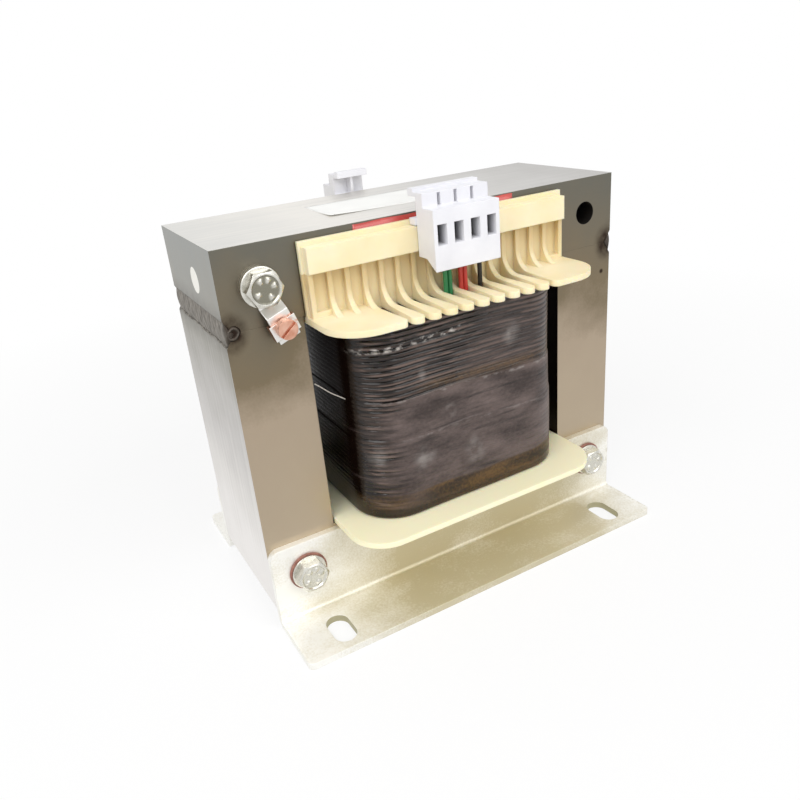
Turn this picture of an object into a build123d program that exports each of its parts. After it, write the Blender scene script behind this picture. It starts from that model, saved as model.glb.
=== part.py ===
from build123d import *
import os
from math import cos, radians, sin

# Power transformer, open frame, standing on two angle feet.
# Millimetres, +X to the right, -Y to the front, +Z up, origin under the middle of the feet.

# Core of stacked E and I plates, together six limbs wide and five limbs high
core_width = 150.0
core_depth = 54.0
across_limb_count = 6
height_limb_count = 5
centre_limb_count = 2
core_lift = 7.0
core_hole_diameter = 8.0
weld_notch_height = 8.4
weld_notch_depth = 2.8
weld_fill_share = 0.72
weld_end_gap = 0.8

# Coil former
former_side_gap = 0.6
former_limb_gap = 0.4
former_yoke_gap = 0.3
tube_wall = 1.5
flange_thickness = 2.0
flange_reach = 25.5
flange_corner_radius = 13.0
wall_core_gap = 0.4
wall_thickness = 1.4
wall_drop = 2.0
rail_reach = 5.2
rail_drop = 3.6
rail_height = 7.9
rail_end_gap = 1.0
panel_thickness = 1.6
panel_reach = 3.9
ledge_height = 1.6
rib_reach = 3.2
rib_curve_radius = 6.5
rib_count = 15
finger_count = 9
comb_share = 0.892
gap_root_share = 0.75
gap_tip_share = 0.226
finger_round_share = 0.92

# Winding
winding_fill_share = 0.64
winding_core_gap = 0.3
winding_top_gap = 0.4
turn_count = 3
turn_depth = 0.6
groove_share = 0.3
wrap_share = 0.62

# Angle feet
plate_thickness = 2.5
foot_reach = 27.0
foot_top_gap = 1.2
bend_radius = 1.5
upright_corner_radius = 3.5
flat_corner_radius = 2.0
slot_width = 8.0
slot_length = 14.0
slot_end_distance = 16.0
slot_edge_distance = 10.0

# Bolts, washers and nuts
bolt_diameter = 6.0
hex_across_flats = 10.0
bolt_head_height = 4.0
nut_height = 5.0
hex_chamfer = 0.7
washer_diameter = 12.5
washer_thickness = 1.6
thread_gap = 0.2
bolt_tail = 3.0

# Earthing tab with its saddle and screw
tab_angle = 20.0
tab_thickness = 1.2
tab_eye_radius = 6.0
tab_width = 7.2
tab_length = 18.0
tab_joggle_start = 6.4
tab_joggle_run = 2.6
tab_stand_off = 2.6
screw_end_distance = 4.2
screw_diameter = 3.5
screw_head_diameter = 6.2
screw_head_height = 2.4
screw_slot_width = 0.9
screw_slot_depth = 1.0
clamp_width = 8.8
clamp_length = 5.2
clamp_thickness = 0.8
clamp_lip = 1.6

# Terminal blocks
front_pole_count = 4
rear_pole_count = 2
pole_share = 1.038
front_block_x = 1.3
rear_block_x = -2.0
block_reach = 15.1
block_step_reach = 9.3
block_chin_reach = 10.0
block_ridge_reach = 3.9
block_ridge_back = 1.0
block_ridge_height = 2.3
block_top_rise = 7.5
block_ledge_drop = 1.0
block_face_rise = 2.2
block_face_height = 18.8
block_heel_drop = 1.7
hook_height = 2.3
ear_reach = 0.6
catch_share = 0.5
catch_run = 1.0
web_thickness = 1.0
clip_gap = 0.2
entry_width = 3.4
entry_height = 6.4
entry_draw = 1.22
entry_drop = 4.5
entry_back_wall = 3.7
clamp_plate_thickness = 1.2
clamp_plate_gap = 0.15
slit_width = 1.1
slit_height = 3.8
slit_depth = 2.2
slit_drop = 0.4

# Leads
lead_reach = 8.6
lead_fill_share = 0.436
lead_pair_gap = 0.15
lead_pocket_gap = 0.25
lead_pocket_depth = 3.0
black_lead_share = 0.136

cut_overrun = 1.0
pick_tolerance = 0.05

# Levels and places that follow from the sizes above
limb_width = core_width / across_limb_count
core_height = limb_width * height_limb_count
centre_limb_width = limb_width * centre_limb_count
bolt_inset = limb_width / 2
half_width = core_width / 2
half_depth = core_depth / 2
core_bottom = core_lift
core_top = core_lift + core_height
joint_level = core_top - limb_width
window_bottom = core_bottom + limb_width
window_width = (core_width - centre_limb_width) / 2 - limb_width
window_centre_x = centre_limb_width / 2 + window_width / 2
bolt_x = half_width - bolt_inset
bolt_low_z = core_bottom + bolt_inset
bolt_high_z = core_top - bolt_inset

flange_width = centre_limb_width + 2 * window_width - 2 * former_side_gap
flange_depth = core_depth + 2 * flange_reach
flange_front = flange_depth / 2
upper_flange_top = joint_level - former_yoke_gap
upper_flange_bottom = upper_flange_top - flange_thickness
lower_flange_top = window_bottom + flange_thickness
tube_bore_width = centre_limb_width + 2 * former_limb_gap
tube_bore_depth = core_depth + 2 * former_limb_gap
tube_width = tube_bore_width + 2 * tube_wall
tube_depth = tube_bore_depth + 2 * tube_wall
wall_back = half_depth + wall_core_gap
wall_front = wall_back + wall_thickness
wall_top = core_top - wall_drop
rail_top = core_top - rail_drop
rail_bottom = rail_top - rail_height
rail_front = half_depth + rail_reach
rail_half_width = flange_width / 2 - rail_end_gap
rib_front = half_depth + rib_reach
panel_front = half_depth + panel_reach
rib_curve_end = rib_front + rib_curve_radius
rib_curve_top = upper_flange_top + rib_curve_radius
rib_pitch = flange_width * comb_share / rib_count
gap_root_width = rib_pitch * gap_root_share
gap_tip_width = rib_pitch * gap_tip_share
gap_slope = (gap_root_width - gap_tip_width) / (flange_front - wall_front)
end_rib_x = rib_pitch * (rib_count - 1) / 2
finger_tip_radius = (rib_pitch - gap_tip_width) / 2 * finger_round_share

winding_build = window_width * winding_fill_share
winding_width = centre_limb_width + 2 * winding_build
winding_depth = core_depth + 2 * winding_build
winding_bore_width = tube_width + 2 * winding_core_gap
winding_bore_depth = tube_depth + 2 * winding_core_gap
winding_top = upper_flange_bottom - winding_top_gap
winding_height = winding_top - lower_flange_top
wrap_top = lower_flange_top + winding_height * wrap_share
turn_height = (winding_top - wrap_top) / turn_count

bracket_face = half_depth + plate_thickness
foot_front = half_depth + foot_reach
foot_upright = window_bottom - foot_top_gap
outer_bend_radius = plate_thickness + bend_radius
slot_x = half_width - slot_end_distance
slot_y = foot_front - slot_edge_distance
screw_distance = tab_length - screw_end_distance

pole_pitch = rib_pitch * pole_share
block_top = core_top + block_top_rise
block_ledge = block_top - block_ledge_drop
block_ridge_bottom = block_top - block_ridge_height
block_face_top = core_top + block_face_rise
block_face_bottom = block_face_top - block_face_height
block_heel = rail_bottom - block_heel_drop
block_front = half_depth + block_reach
block_step = half_depth + block_step_reach
block_chin = half_depth + block_chin_reach
block_ridge_front = half_depth + block_ridge_reach
block_ridge_rear = half_depth + block_ridge_back
block_back = rail_front + clip_gap
hook_bottom = rail_top + clip_gap
hook_top = rail_top + hook_height
hook_back = wall_front + clip_gap
catch_back = rib_front + clip_gap
entry_depth = block_reach - rail_reach - clamp_plate_thickness - entry_back_wall
entry_centre_z = block_face_top - entry_drop - entry_height / 2
slit_centre_z = block_ledge - slit_drop - slit_height / 2
lead_y = half_depth + lead_reach
lead_diameter = (gap_root_width - gap_slope * (lead_y - wall_front)) * lead_fill_share
lead_end_z = block_heel + lead_pocket_depth
lead_pair_pitch = lead_diameter + lead_pair_gap
black_lead_x = rib_pitch * (3 / 2 + black_lead_share)

os.makedirs("parts", exist_ok=True)

# E stack: bottom yoke, two outer limbs and the centre limb, notched for the weld at each end of the joint
with BuildPart() as core_e_stack:
    with BuildSketch(Plane.XZ):
        with BuildLine():
            Polyline(
                (-half_width, core_bottom),
                (half_width, core_bottom),
                (half_width, joint_level - weld_notch_height / 2),
                (half_width - weld_notch_depth, joint_level),
                (weld_notch_depth - half_width, joint_level),
                (-half_width, joint_level - weld_notch_height / 2),
                close=True,
            )
        make_face()
        with Locations((-window_centre_x, window_bottom), (window_centre_x, window_bottom)):
            Rectangle(
                window_width,
                joint_level - window_bottom,
                align=(Align.CENTER, Align.MIN),
                mode=Mode.SUBTRACT,
            )
        with Locations((-bolt_x, bolt_low_z), (bolt_x, bolt_low_z)):
            Circle(core_hole_diameter / 2, mode=Mode.SUBTRACT)
    extrude(amount=half_depth, both=True)
core_e_stack.part.label = "core_e_stack"
export_step(core_e_stack.part, "parts/core_e_stack.step")

# I stack: the yoke across the top
with BuildPart() as core_i_yoke:
    with BuildSketch(Plane.XZ):
        with BuildLine():
            Polyline(
                (-half_width, core_top),
                (half_width, core_top),
                (half_width, joint_level + weld_notch_height / 2),
                (half_width - weld_notch_depth, joint_level),
                (weld_notch_depth - half_width, joint_level),
                (-half_width, joint_level + weld_notch_height / 2),
                close=True,
            )
        make_face()
        with Locations((-bolt_x, bolt_high_z), (bolt_x, bolt_high_z)):
            Circle(core_hole_diameter / 2, mode=Mode.SUBTRACT)
    extrude(amount=half_depth, both=True)
core_i_yoke.part.label = "core_i_yoke"
export_step(core_i_yoke.part, "parts/core_i_yoke.step")

# Weld seams: each fills the inner part of its notch and crowns out to the end face
weld_chord_x = half_width - weld_notch_depth + weld_notch_depth * weld_fill_share
weld_half_height = weld_notch_height / 2 * weld_fill_share
for weld_name, side in (("weld_bead_left", -1), ("weld_bead_right", 1)):
    with BuildPart() as weld_bead:
        with BuildSketch(Plane.XZ):
            with BuildLine():
                Polyline(
                    (side * weld_chord_x, joint_level + weld_half_height),
                    (side * (half_width - weld_notch_depth), joint_level),
                    (side * weld_chord_x, joint_level - weld_half_height),
                )
                ThreePointArc(
                    (side * weld_chord_x, joint_level - weld_half_height),
                    (side * half_width, joint_level),
                    (side * weld_chord_x, joint_level + weld_half_height),
                )
            make_face()
        extrude(amount=half_depth - weld_end_gap, both=True)
    weld_bead.part.label = weld_name
    export_step(weld_bead.part, f"parts/{weld_name}.step")

# Coil former: tube, two flanges, and on each long side a wall with a rail over a comb of curved fins
gap_numbers = [number - rib_count / 2 for number in range(rib_count + 1)]
open_limit = finger_count / 2
open_gaps = [number * rib_pitch for number in gap_numbers if abs(number) <= open_limit]
closed_gaps = [number * rib_pitch for number in gap_numbers if abs(number) > open_limit]
gap_end = flange_front + cut_overrun
gap_end_width = gap_tip_width - gap_slope * cut_overrun
gap_outline = (
    (-gap_root_width / 2, -wall_front),
    (gap_root_width / 2, -wall_front),
    (gap_end_width / 2, -gap_end),
    (-gap_end_width / 2, -gap_end),
)
with BuildPart() as coil_former:
    with BuildSketch(Plane.XY.offset(upper_flange_bottom)):
        RectangleRounded(flange_width, flange_depth, flange_corner_radius)
        Rectangle(flange_width, flange_front, align=(Align.CENTER, Align.MIN), mode=Mode.SUBTRACT)
    extrude(amount=flange_thickness)
    # ramp from which the curved fins are cut
    with BuildSketch(Plane.YZ):
        with BuildLine():
            Polyline(
                (-rib_curve_end, upper_flange_top),
                (-wall_front, upper_flange_top),
                (-wall_front, rail_bottom),
                (-rib_front, rail_bottom),
                (-rib_front, rib_curve_top),
            )
            RadiusArc((-rib_front, rib_curve_top), (-rib_curve_end, upper_flange_top), rib_curve_radius)
        make_face()
    extrude(amount=rib_pitch * rib_count / 2, both=True)
    # gaps between the fins: those in the middle run out through the flange, those at the ends stop on it
    with BuildSketch(Plane.XY.offset(upper_flange_bottom)):
        with Locations(*[(x, 0) for x in open_gaps]):
            Polygon(*gap_outline, align=(Align.NONE, Align.NONE))
    extrude(amount=rail_bottom - upper_flange_bottom, mode=Mode.SUBTRACT)
    with BuildSketch(Plane.XY.offset(upper_flange_top)):
        with Locations(*[(x, 0) for x in closed_gaps]):
            Polygon(*gap_outline, align=(Align.NONE, Align.NONE))
    extrude(amount=rail_bottom - upper_flange_top, mode=Mode.SUBTRACT)
    # rounded finger tips
    finger_tips = (
        coil_former.edges()
        .filter_by(Axis.Z)
        .filter_by_position(Axis.Y, -flange_front - pick_tolerance, -flange_front + pick_tolerance)
        .filter_by_position(Axis.X, -rib_pitch * open_limit - rib_pitch, rib_pitch * open_limit + rib_pitch)
    )
    fillet(finger_tips, finger_tip_radius)
    # wall behind the fins, side panels and the rail above
    with BuildSketch(Plane.XY.offset(upper_flange_top)):
        with Locations((0, -wall_front)):
            Rectangle(flange_width, wall_thickness, align=(Align.CENTER, Align.MIN))
    extrude(amount=wall_top - upper_flange_top)
    with BuildSketch(Plane.XY.offset(upper_flange_top)):
        with Locations((panel_thickness / 2 - rail_half_width, -panel_front)):
            Rectangle(panel_thickness, panel_reach - wall_core_gap, align=(Align.CENTER, Align.MIN))
        with Locations((rail_half_width - panel_thickness / 2, -panel_front)):
            Rectangle(panel_thickness, panel_reach - wall_core_gap, align=(Align.CENTER, Align.MIN))
    extrude(amount=rail_top - upper_flange_top)
    # low ledge between each side panel and the end fin
    with BuildSketch(Plane.XY.offset(upper_flange_top)):
        with Locations((-rail_half_width, -panel_front)):
            Rectangle(rail_half_width - end_rib_x, panel_front - wall_front, align=(Align.MIN, Align.MIN))
        with Locations((rail_half_width, -panel_front)):
            Rectangle(rail_half_width - end_rib_x, panel_front - wall_front, align=(Align.MAX, Align.MIN))
    extrude(amount=ledge_height)
    with BuildSketch(Plane.YZ):
        with Locations((-rail_front, rail_bottom)):
            Rectangle(rail_front - wall_back, rail_height, align=(Align.MIN, Align.MIN))
    extrude(amount=rail_half_width, both=True)
    mirror(about=Plane.XZ)
    # lower flange and the tube through which the centre limb passes
    with BuildSketch(Plane.XY.offset(window_bottom)):
        RectangleRounded(flange_width, flange_depth, flange_corner_radius)
    extrude(amount=flange_thickness)
    with BuildSketch(Plane.XY.offset(window_bottom)):
        Rectangle(tube_width, tube_depth)
    extrude(amount=upper_flange_top - window_bottom)
    with BuildSketch(Plane.XY.offset(window_bottom)):
        Rectangle(tube_bore_width, tube_bore_depth)
    extrude(amount=upper_flange_top - window_bottom, mode=Mode.SUBTRACT)
coil_former.part.label = "coil_former"
export_step(coil_former.part, "parts/coil_former.step")

# Winding: smooth where it is wrapped below, its turns parted by grooves above, bored for the tube
with BuildPart() as winding:
    with BuildSketch(Plane.XY.offset(lower_flange_top)):
        RectangleRounded(winding_width, winding_depth, winding_build)
        Rectangle(winding_bore_width, winding_bore_depth, mode=Mode.SUBTRACT)
    extrude(amount=winding_height)
    for number in range(turn_count):
        with BuildSketch(Plane.XY.offset(wrap_top + turn_height * number)):
            RectangleRounded(
                winding_width + 2 * cut_overrun,
                winding_depth + 2 * cut_overrun,
                winding_build + cut_overrun,
            )
            RectangleRounded(
                winding_width - 2 * turn_depth,
                winding_depth - 2 * turn_depth,
                winding_build - turn_depth,
                mode=Mode.SUBTRACT,
            )
        extrude(amount=turn_height * groove_share, mode=Mode.SUBTRACT)
winding.part.label = "winding"
export_step(winding.part, "parts/winding.step")

# Angle feet, bent from plate, one against each long face of the core
for bracket_name, side in (("foot_bracket_front", -1), ("foot_bracket_rear", 1)):
    with BuildPart() as foot_bracket:
        with BuildSketch(Plane.YZ):
            with BuildLine():
                FilletPolyline(
                    (side * half_depth, foot_upright),
                    (side * half_depth, 0),
                    (side * foot_front, 0),
                    radius=outer_bend_radius,
                )
                FilletPolyline(
                    (side * bracket_face, foot_upright),
                    (side * bracket_face, plate_thickness),
                    (side * foot_front, plate_thickness),
                    radius=bend_radius,
                )
                Line((side * half_depth, foot_upright), (side * bracket_face, foot_upright))
                Line((side * foot_front, 0), (side * foot_front, plate_thickness))
            make_face()
        extrude(amount=half_width, both=True)
        upright_corners = foot_bracket.edges().filter_by(Axis.Y).group_by(Axis.Z)[-1]
        fillet(upright_corners, upright_corner_radius)
        flat_corners = foot_bracket.edges().filter_by(Axis.Z).sort_by(Axis.Y, reverse=side > 0)[:2]
        fillet(flat_corners, flat_corner_radius)
        with BuildSketch(Plane.XY):
            with Locations((-slot_x, side * slot_y), (slot_x, side * slot_y)):
                SlotOverall(slot_length, slot_width, rotation=90)
        extrude(amount=plate_thickness, mode=Mode.SUBTRACT)
        with BuildSketch(Plane.XZ):
            with Locations((-bolt_x, bolt_low_z), (bolt_x, bolt_low_z)):
                Circle(core_hole_diameter / 2)
        extrude(amount=foot_front, both=True, mode=Mode.SUBTRACT)
    foot_bracket.part.label = bracket_name
    export_step(foot_bracket.part, f"parts/{bracket_name}.step")

# Through bolts with heads to the front, each on a washer, and nuts behind
bolt_table = (
    ("lower_left", -bolt_x, bolt_low_z, plate_thickness, plate_thickness),
    ("lower_right", bolt_x, bolt_low_z, plate_thickness, plate_thickness),
    ("earth", -bolt_x, bolt_high_z, tab_thickness, 0),
)
for bolt_name, place_x, place_z, front_pack, rear_pack in bolt_table:
    head_seat = half_depth + front_pack + washer_thickness
    nut_seat = half_depth + rear_pack
    shank_end = nut_seat + nut_height + bolt_tail
    with BuildPart() as bolt:
        with BuildSketch(Plane.XZ.offset(head_seat)):
            with Locations((place_x, place_z)):
                RegularPolygon(hex_across_flats / 2, 6, major_radius=False)
        extrude(amount=bolt_head_height)
        head_rim = bolt.faces().sort_by(Axis.Y)[0].edges()
        chamfer(head_rim, hex_chamfer)
        with BuildSketch(Plane.XZ.offset(head_seat)):
            with Locations((place_x, place_z)):
                Circle(bolt_diameter / 2)
        extrude(amount=-head_seat - shank_end)
    bolt.part.label = f"bolt_{bolt_name}"
    export_step(bolt.part, f"parts/bolt_{bolt_name}.step")
    with BuildPart() as nut:
        with BuildSketch(Plane.XZ.offset(-nut_seat)):
            with Locations((place_x, place_z)):
                RegularPolygon(hex_across_flats / 2, 6, major_radius=False)
        extrude(amount=-nut_height)
        nut_rim = nut.faces().sort_by(Axis.Y)[-1].edges()
        chamfer(nut_rim, hex_chamfer)
        with BuildSketch(Plane.XZ.offset(-nut_seat)):
            with Locations((place_x, place_z)):
                Circle(bolt_diameter / 2 + thread_gap)
        extrude(amount=-nut_height, mode=Mode.SUBTRACT)
    nut.part.label = f"nut_{bolt_name}"
    export_step(nut.part, f"parts/nut_{bolt_name}.step")

# Flat washers under the three bolt heads
with BuildPart() as bolt_washers:
    for bolt_name, place_x, place_z, front_pack, rear_pack in bolt_table:
        with BuildSketch(Plane.XZ.offset(half_depth + front_pack)):
            with Locations((place_x, place_z)):
                Circle(washer_diameter / 2)
                Circle(bolt_diameter / 2 + thread_gap, mode=Mode.SUBTRACT)
        extrude(amount=washer_thickness)
bolt_washers.part.label = "bolt_washers"
export_step(bolt_washers.part, "parts/bolt_washers.step")

# Earthing tab: eye under the upper left bolt, joggled off the core, leaning to the right.
# Its own plane: x across the tab, y up its length, z out of the core's face.
tab_plane = Plane(
    origin=(-bolt_x, -half_depth, bolt_high_z),
    x_dir=(cos(radians(tab_angle)), 0, sin(radians(tab_angle))),
    z_dir=(0, -1, 0),
)
tab_side_plane = Plane(origin=tab_plane.origin, x_dir=tab_plane.z_dir, z_dir=-tab_plane.x_dir)
joggle_end = tab_joggle_start + tab_joggle_run
tab_high = tab_stand_off + tab_thickness
with BuildPart() as earth_tab:
    with BuildSketch(tab_side_plane):
        with BuildLine():
            Polyline(
                (0, tab_eye_radius),
                (0, -tab_joggle_start),
                (tab_stand_off, -joggle_end),
                (tab_stand_off, -tab_length),
                (tab_high, -tab_length),
                (tab_high, -joggle_end),
                (tab_thickness, -tab_joggle_start),
                (tab_thickness, tab_eye_radius),
                close=True,
            )
        make_face()
    extrude(amount=tab_eye_radius, both=True)
    with BuildSketch(tab_plane):
        with Locations((0, -tab_length)):
            Rectangle(tab_width, tab_length, align=(Align.CENTER, Align.MIN))
        Circle(tab_eye_radius)
        Circle(bolt_diameter / 2 + thread_gap, mode=Mode.SUBTRACT)
        with Locations((0, -screw_distance)):
            Circle(screw_diameter / 2 + thread_gap, mode=Mode.SUBTRACT)
    extrude(amount=tab_high, mode=Mode.INTERSECT)
earth_tab.part.label = "earth_tab"
export_step(earth_tab.part, "parts/earth_tab.step")

# Saddle that grips the earth wire, lips turned down over the tab's sides
saddle_plane = tab_plane.offset(tab_high)
with BuildPart() as earth_clamp:
    with BuildSketch(saddle_plane):
        with Locations((0, -screw_distance)):
            Rectangle(clamp_width, clamp_length)
    extrude(amount=clamp_thickness)
    with BuildSketch(saddle_plane):
        with Locations((0, -screw_distance)):
            Rectangle(clamp_width, clamp_length)
            Rectangle(tab_width, clamp_length + cut_overrun, mode=Mode.SUBTRACT)
    extrude(amount=-clamp_lip)
    with BuildSketch(saddle_plane):
        with Locations((0, -screw_distance)):
            Circle(screw_diameter / 2 + thread_gap)
    extrude(amount=clamp_thickness, mode=Mode.SUBTRACT)
earth_clamp.part.label = "earth_clamp"
export_step(earth_clamp.part, "parts/earth_clamp.step")

# Slotted cheese-head screw through saddle and tab
screw_plane = saddle_plane.offset(clamp_thickness)
with BuildPart() as earth_screw:
    with BuildSketch(screw_plane):
        with Locations((0, -screw_distance)):
            Circle(screw_head_diameter / 2)
    extrude(amount=screw_head_height)
    with BuildSketch(screw_plane.offset(screw_head_height)):
        with Locations((0, -screw_distance)):
            Rectangle(screw_head_diameter, screw_slot_width, rotation=tab_angle)
    extrude(amount=-screw_slot_depth, mode=Mode.SUBTRACT)
    with BuildSketch(screw_plane):
        with Locations((0, -screw_distance)):
            Circle(screw_diameter / 2)
    extrude(amount=-clamp_thickness - tab_thickness - tab_stand_off / 2)
earth_screw.part.label = "earth_screw"
export_step(earth_screw.part, "parts/earth_screw.step")

# Terminal blocks on the former's rails, four poles in front and two behind.
# A hook with an ear at each end lies on the rail and a catch grips under it.
entry_end_width = entry_width - entry_draw
entry_end_height = entry_height - entry_draw
clamp_front = block_front - entry_depth
pocket_width = lead_diameter + 2 * lead_pocket_gap
pair_places = (-lead_pair_pitch / 2, lead_pair_pitch / 2)
block_table = (
    ("front", -1, front_pole_count, front_block_x, ((-rib_pitch / 2, 2), (rib_pitch / 2, 2), (black_lead_x, 1))),
    ("rear", 1, rear_pole_count, rear_block_x, ((-rib_pitch / 2, 1), (rib_pitch / 2, 1))),
)
for block_name, side, poles, centre_x, pocket_table in block_table:
    block_half_width = pole_pitch * poles / 2
    pole_places = [centre_x + pole_pitch * (number - (poles - 1) / 2) for number in range(poles)]
    split_places = [centre_x + pole_pitch * (number - poles / 2) for number in range(1, poles)]
    with BuildPart() as terminal_block:
        with BuildSketch(Plane.YZ.offset(centre_x)):
            with BuildLine():
                Polyline(
                    (side * block_back, block_heel),
                    (side * block_back, block_ridge_bottom),
                    (side * block_ridge_rear, block_ridge_bottom),
                    (side * block_ridge_rear, block_top),
                    (side * block_ridge_front, block_top),
                    (side * block_ridge_front, block_ledge),
                    (side * block_step, block_ledge),
                    (side * block_step, block_face_top),
                    (side * block_front, block_face_top),
                    (side * block_front, block_face_bottom),
                    (side * block_chin, block_heel),
                    close=True,
                )
            make_face()
        extrude(amount=block_half_width, both=True)
        with BuildSketch(Plane.YZ.offset(centre_x)):
            with Locations((side * (hook_back + block_back) / 2, hook_bottom)):
                Rectangle(block_back - hook_back, hook_top - hook_bottom, align=(Align.CENTER, Align.MIN))
        extrude(amount=block_half_width + ear_reach, both=True)
        with BuildSketch(Plane.YZ.offset(centre_x)):
            with Locations((side * (catch_back + block_back + catch_run) / 2, block_heel)):
                Rectangle(
                    block_back + catch_run - catch_back,
                    block_heel_drop - clip_gap,
                    align=(Align.CENTER, Align.MIN),
                )
        extrude(amount=block_half_width * catch_share, both=True)
        # webs between the poles, from the hook up to the ridge
        with BuildSketch(Plane.XY.offset(hook_top)):
            with Locations(*[(x, side * (hook_back + block_back) / 2) for x in split_places]):
                Rectangle(web_thickness, block_back - hook_back)
        extrude(amount=block_ridge_bottom - hook_top)
        # funnel-shaped wire entries with a seat for the clamp plate behind each
        with Locations(*[(x, side * block_front, entry_centre_z) for x in pole_places]):
            Wedge(
                entry_width,
                entry_depth,
                entry_height,
                entry_draw / 2,
                entry_draw / 2,
                entry_width - entry_draw / 2,
                entry_height - entry_draw / 2,
                rotation=(0, 0, 90 + 90 * side),
                align=(Align.CENTER, Align.MIN, Align.CENTER),
                mode=Mode.SUBTRACT,
            )
        with BuildSketch(Plane.XZ.offset(-side * clamp_front)):
            with Locations(*[(x, entry_centre_z) for x in pole_places]):
                Rectangle(entry_end_width, entry_end_height)
        extrude(amount=side * clamp_plate_thickness, mode=Mode.SUBTRACT)
        # slits between the poles on the stepped face
        with BuildSketch(Plane.XZ.offset(-side * block_step)):
            with Locations(*[(x, slit_centre_z) for x in split_places]):
                Rectangle(slit_width, slit_height)
        extrude(amount=side * slit_depth, mode=Mode.SUBTRACT)
        # pockets in the underside that the leads run up into
        with BuildSketch(Plane.XY.offset(lead_end_z)):
            for pocket_x, lead_count in pocket_table:
                with Locations((pocket_x, side * lead_y)):
                    Rectangle(pocket_width + lead_pair_pitch * (lead_count - 1), pocket_width)
        extrude(amount=block_heel - lead_end_z, mode=Mode.SUBTRACT)
    terminal_block.part.label = f"terminal_block_{block_name}"
    export_step(terminal_block.part, f"parts/terminal_block_{block_name}.step")
    with BuildPart() as clamp_plates:
        with BuildSketch(Plane.XZ.offset(-side * clamp_front)):
            with Locations(*[(x, entry_centre_z) for x in pole_places]):
                Rectangle(entry_end_width - 2 * clamp_plate_gap, entry_end_height - 2 * clamp_plate_gap)
        extrude(amount=side * clamp_plate_thickness)
    clamp_plates.part.label = f"clamp_plates_{block_name}"
    export_step(clamp_plates.part, f"parts/clamp_plates_{block_name}.step")

# Leads standing on the winding, up through the comb into the blocks
lead_table = (
    ("leads_green", -1, [place - rib_pitch / 2 for place in pair_places]),
    ("leads_red", -1, [place + rib_pitch / 2 for place in pair_places]),
    ("lead_black", -1, [black_lead_x]),
    ("leads_rear", 1, [-rib_pitch / 2, rib_pitch / 2]),
)
for lead_name, side, lead_places in lead_table:
    with BuildPart() as leads:
        with BuildSketch(Plane.XY.offset(winding_top)):
            with Locations(*[(x, side * lead_y) for x in lead_places]):
                Circle(lead_diameter / 2)
        extrude(amount=lead_end_z - winding_top)
    leads.part.label = lead_name
    export_step(leads.part, f"parts/{lead_name}.step")
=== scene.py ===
import logging
import math
from dataclasses import dataclass
from enum import Enum
from functools import cached_property
from typing import NamedTuple

import bmesh
import bpy
import numpy as np
from bpy.types import Material, Node, NodeSocket, NodeTree, Object
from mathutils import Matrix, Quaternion, Vector


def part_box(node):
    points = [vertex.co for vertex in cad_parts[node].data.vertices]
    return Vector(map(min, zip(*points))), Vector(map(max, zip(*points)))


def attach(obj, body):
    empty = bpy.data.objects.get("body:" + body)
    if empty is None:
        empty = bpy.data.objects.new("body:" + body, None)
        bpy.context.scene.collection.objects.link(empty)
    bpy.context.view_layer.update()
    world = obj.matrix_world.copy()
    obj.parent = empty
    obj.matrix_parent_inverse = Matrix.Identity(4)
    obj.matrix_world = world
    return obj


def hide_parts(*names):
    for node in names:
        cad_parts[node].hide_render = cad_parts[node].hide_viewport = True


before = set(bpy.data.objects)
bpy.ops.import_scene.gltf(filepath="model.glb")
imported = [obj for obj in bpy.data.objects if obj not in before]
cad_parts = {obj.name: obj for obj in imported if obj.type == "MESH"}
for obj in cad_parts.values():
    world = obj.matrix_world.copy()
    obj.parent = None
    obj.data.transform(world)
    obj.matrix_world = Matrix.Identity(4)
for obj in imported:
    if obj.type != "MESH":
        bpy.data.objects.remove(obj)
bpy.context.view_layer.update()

MM = 0.001
MERGE_GAP = MM / 1000
FULL_TURN = 2 * math.pi
# Values of a noise at which a mottled finish is darkest and palest.
MOTTLE = (0.3, 0.7)
LOG = logging.getLogger("power_transformer")

Array = np.ndarray
Pair = tuple[float, float]
Point = tuple[float, float, float]
Colour = tuple[float, float, float, float]
Stops = tuple[tuple[float, str], ...]
Paint = dict[str, Array]
Feed = Node | NodeSocket | str | float | tuple


class Side(Enum):
    """The two ends of the core along x."""

    LEFT = -1
    RIGHT = 1


class BoltPlace(Enum):
    """The three bolted corners, by the ending of their CAD nodes' names."""

    LOWER_LEFT = "lower_left"
    LOWER_RIGHT = "lower_right"
    EARTH = "earth"


class LeadColour(Enum):
    """Colours of the leads' insulation."""

    GREEN = "#1f7d49"
    RED = "#c8281b"
    BLACK = "#1d1916"


class Wave(NamedTuple):
    """A sine: its height, its rates along two parameters and its lead in radians."""

    height: float
    rate: float
    drift: float = 0.0
    lead: float = 0.0


Waves = tuple[Wave, ...]


class Grain(NamedTuple):
    """A noise: the size of its cells along x, y and z in millimetres, and its octaves of finer noise."""

    cell: Point
    detail: float


class Patch(NamedTuple):
    """Ragged patches: a noise, the levels between which they set in, and their full strength."""

    grain: Grain
    levels: Pair
    top: float = 1.0


def linear(hex_colour: str) -> Colour:
    """Turns an sRGB hex colour into linear light.

    Args:
        hex_colour: Colour as #rrggbb.

    Returns:
        Red, green, blue and an alpha of one.
    """
    parts = np.array([int(hex_colour[i:i + 2], 16) for i in (1, 3, 5)]) / 255
    curved = np.where(parts <= 0.04045, parts / 12.92, ((parts + 0.055) / 1.055) ** 2.4)
    return (*curved.tolist(), 1.0)


def box_mm(node: str) -> tuple[Array, Array]:
    """Gives a CAD node's box.

    Args:
        node: Name of the CAD node.

    Returns:
        Lowest and highest corner in millimetres.
    """
    low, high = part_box(node)
    return np.array(low) / MM, np.array(high) / MM


def axis_centre(low: Array, high: Array) -> Pair:
    """Gives x and z of the axis along y through the middle of a box."""
    return (low[0] + high[0]) / 2, (low[2] + high[2]) / 2


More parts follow.
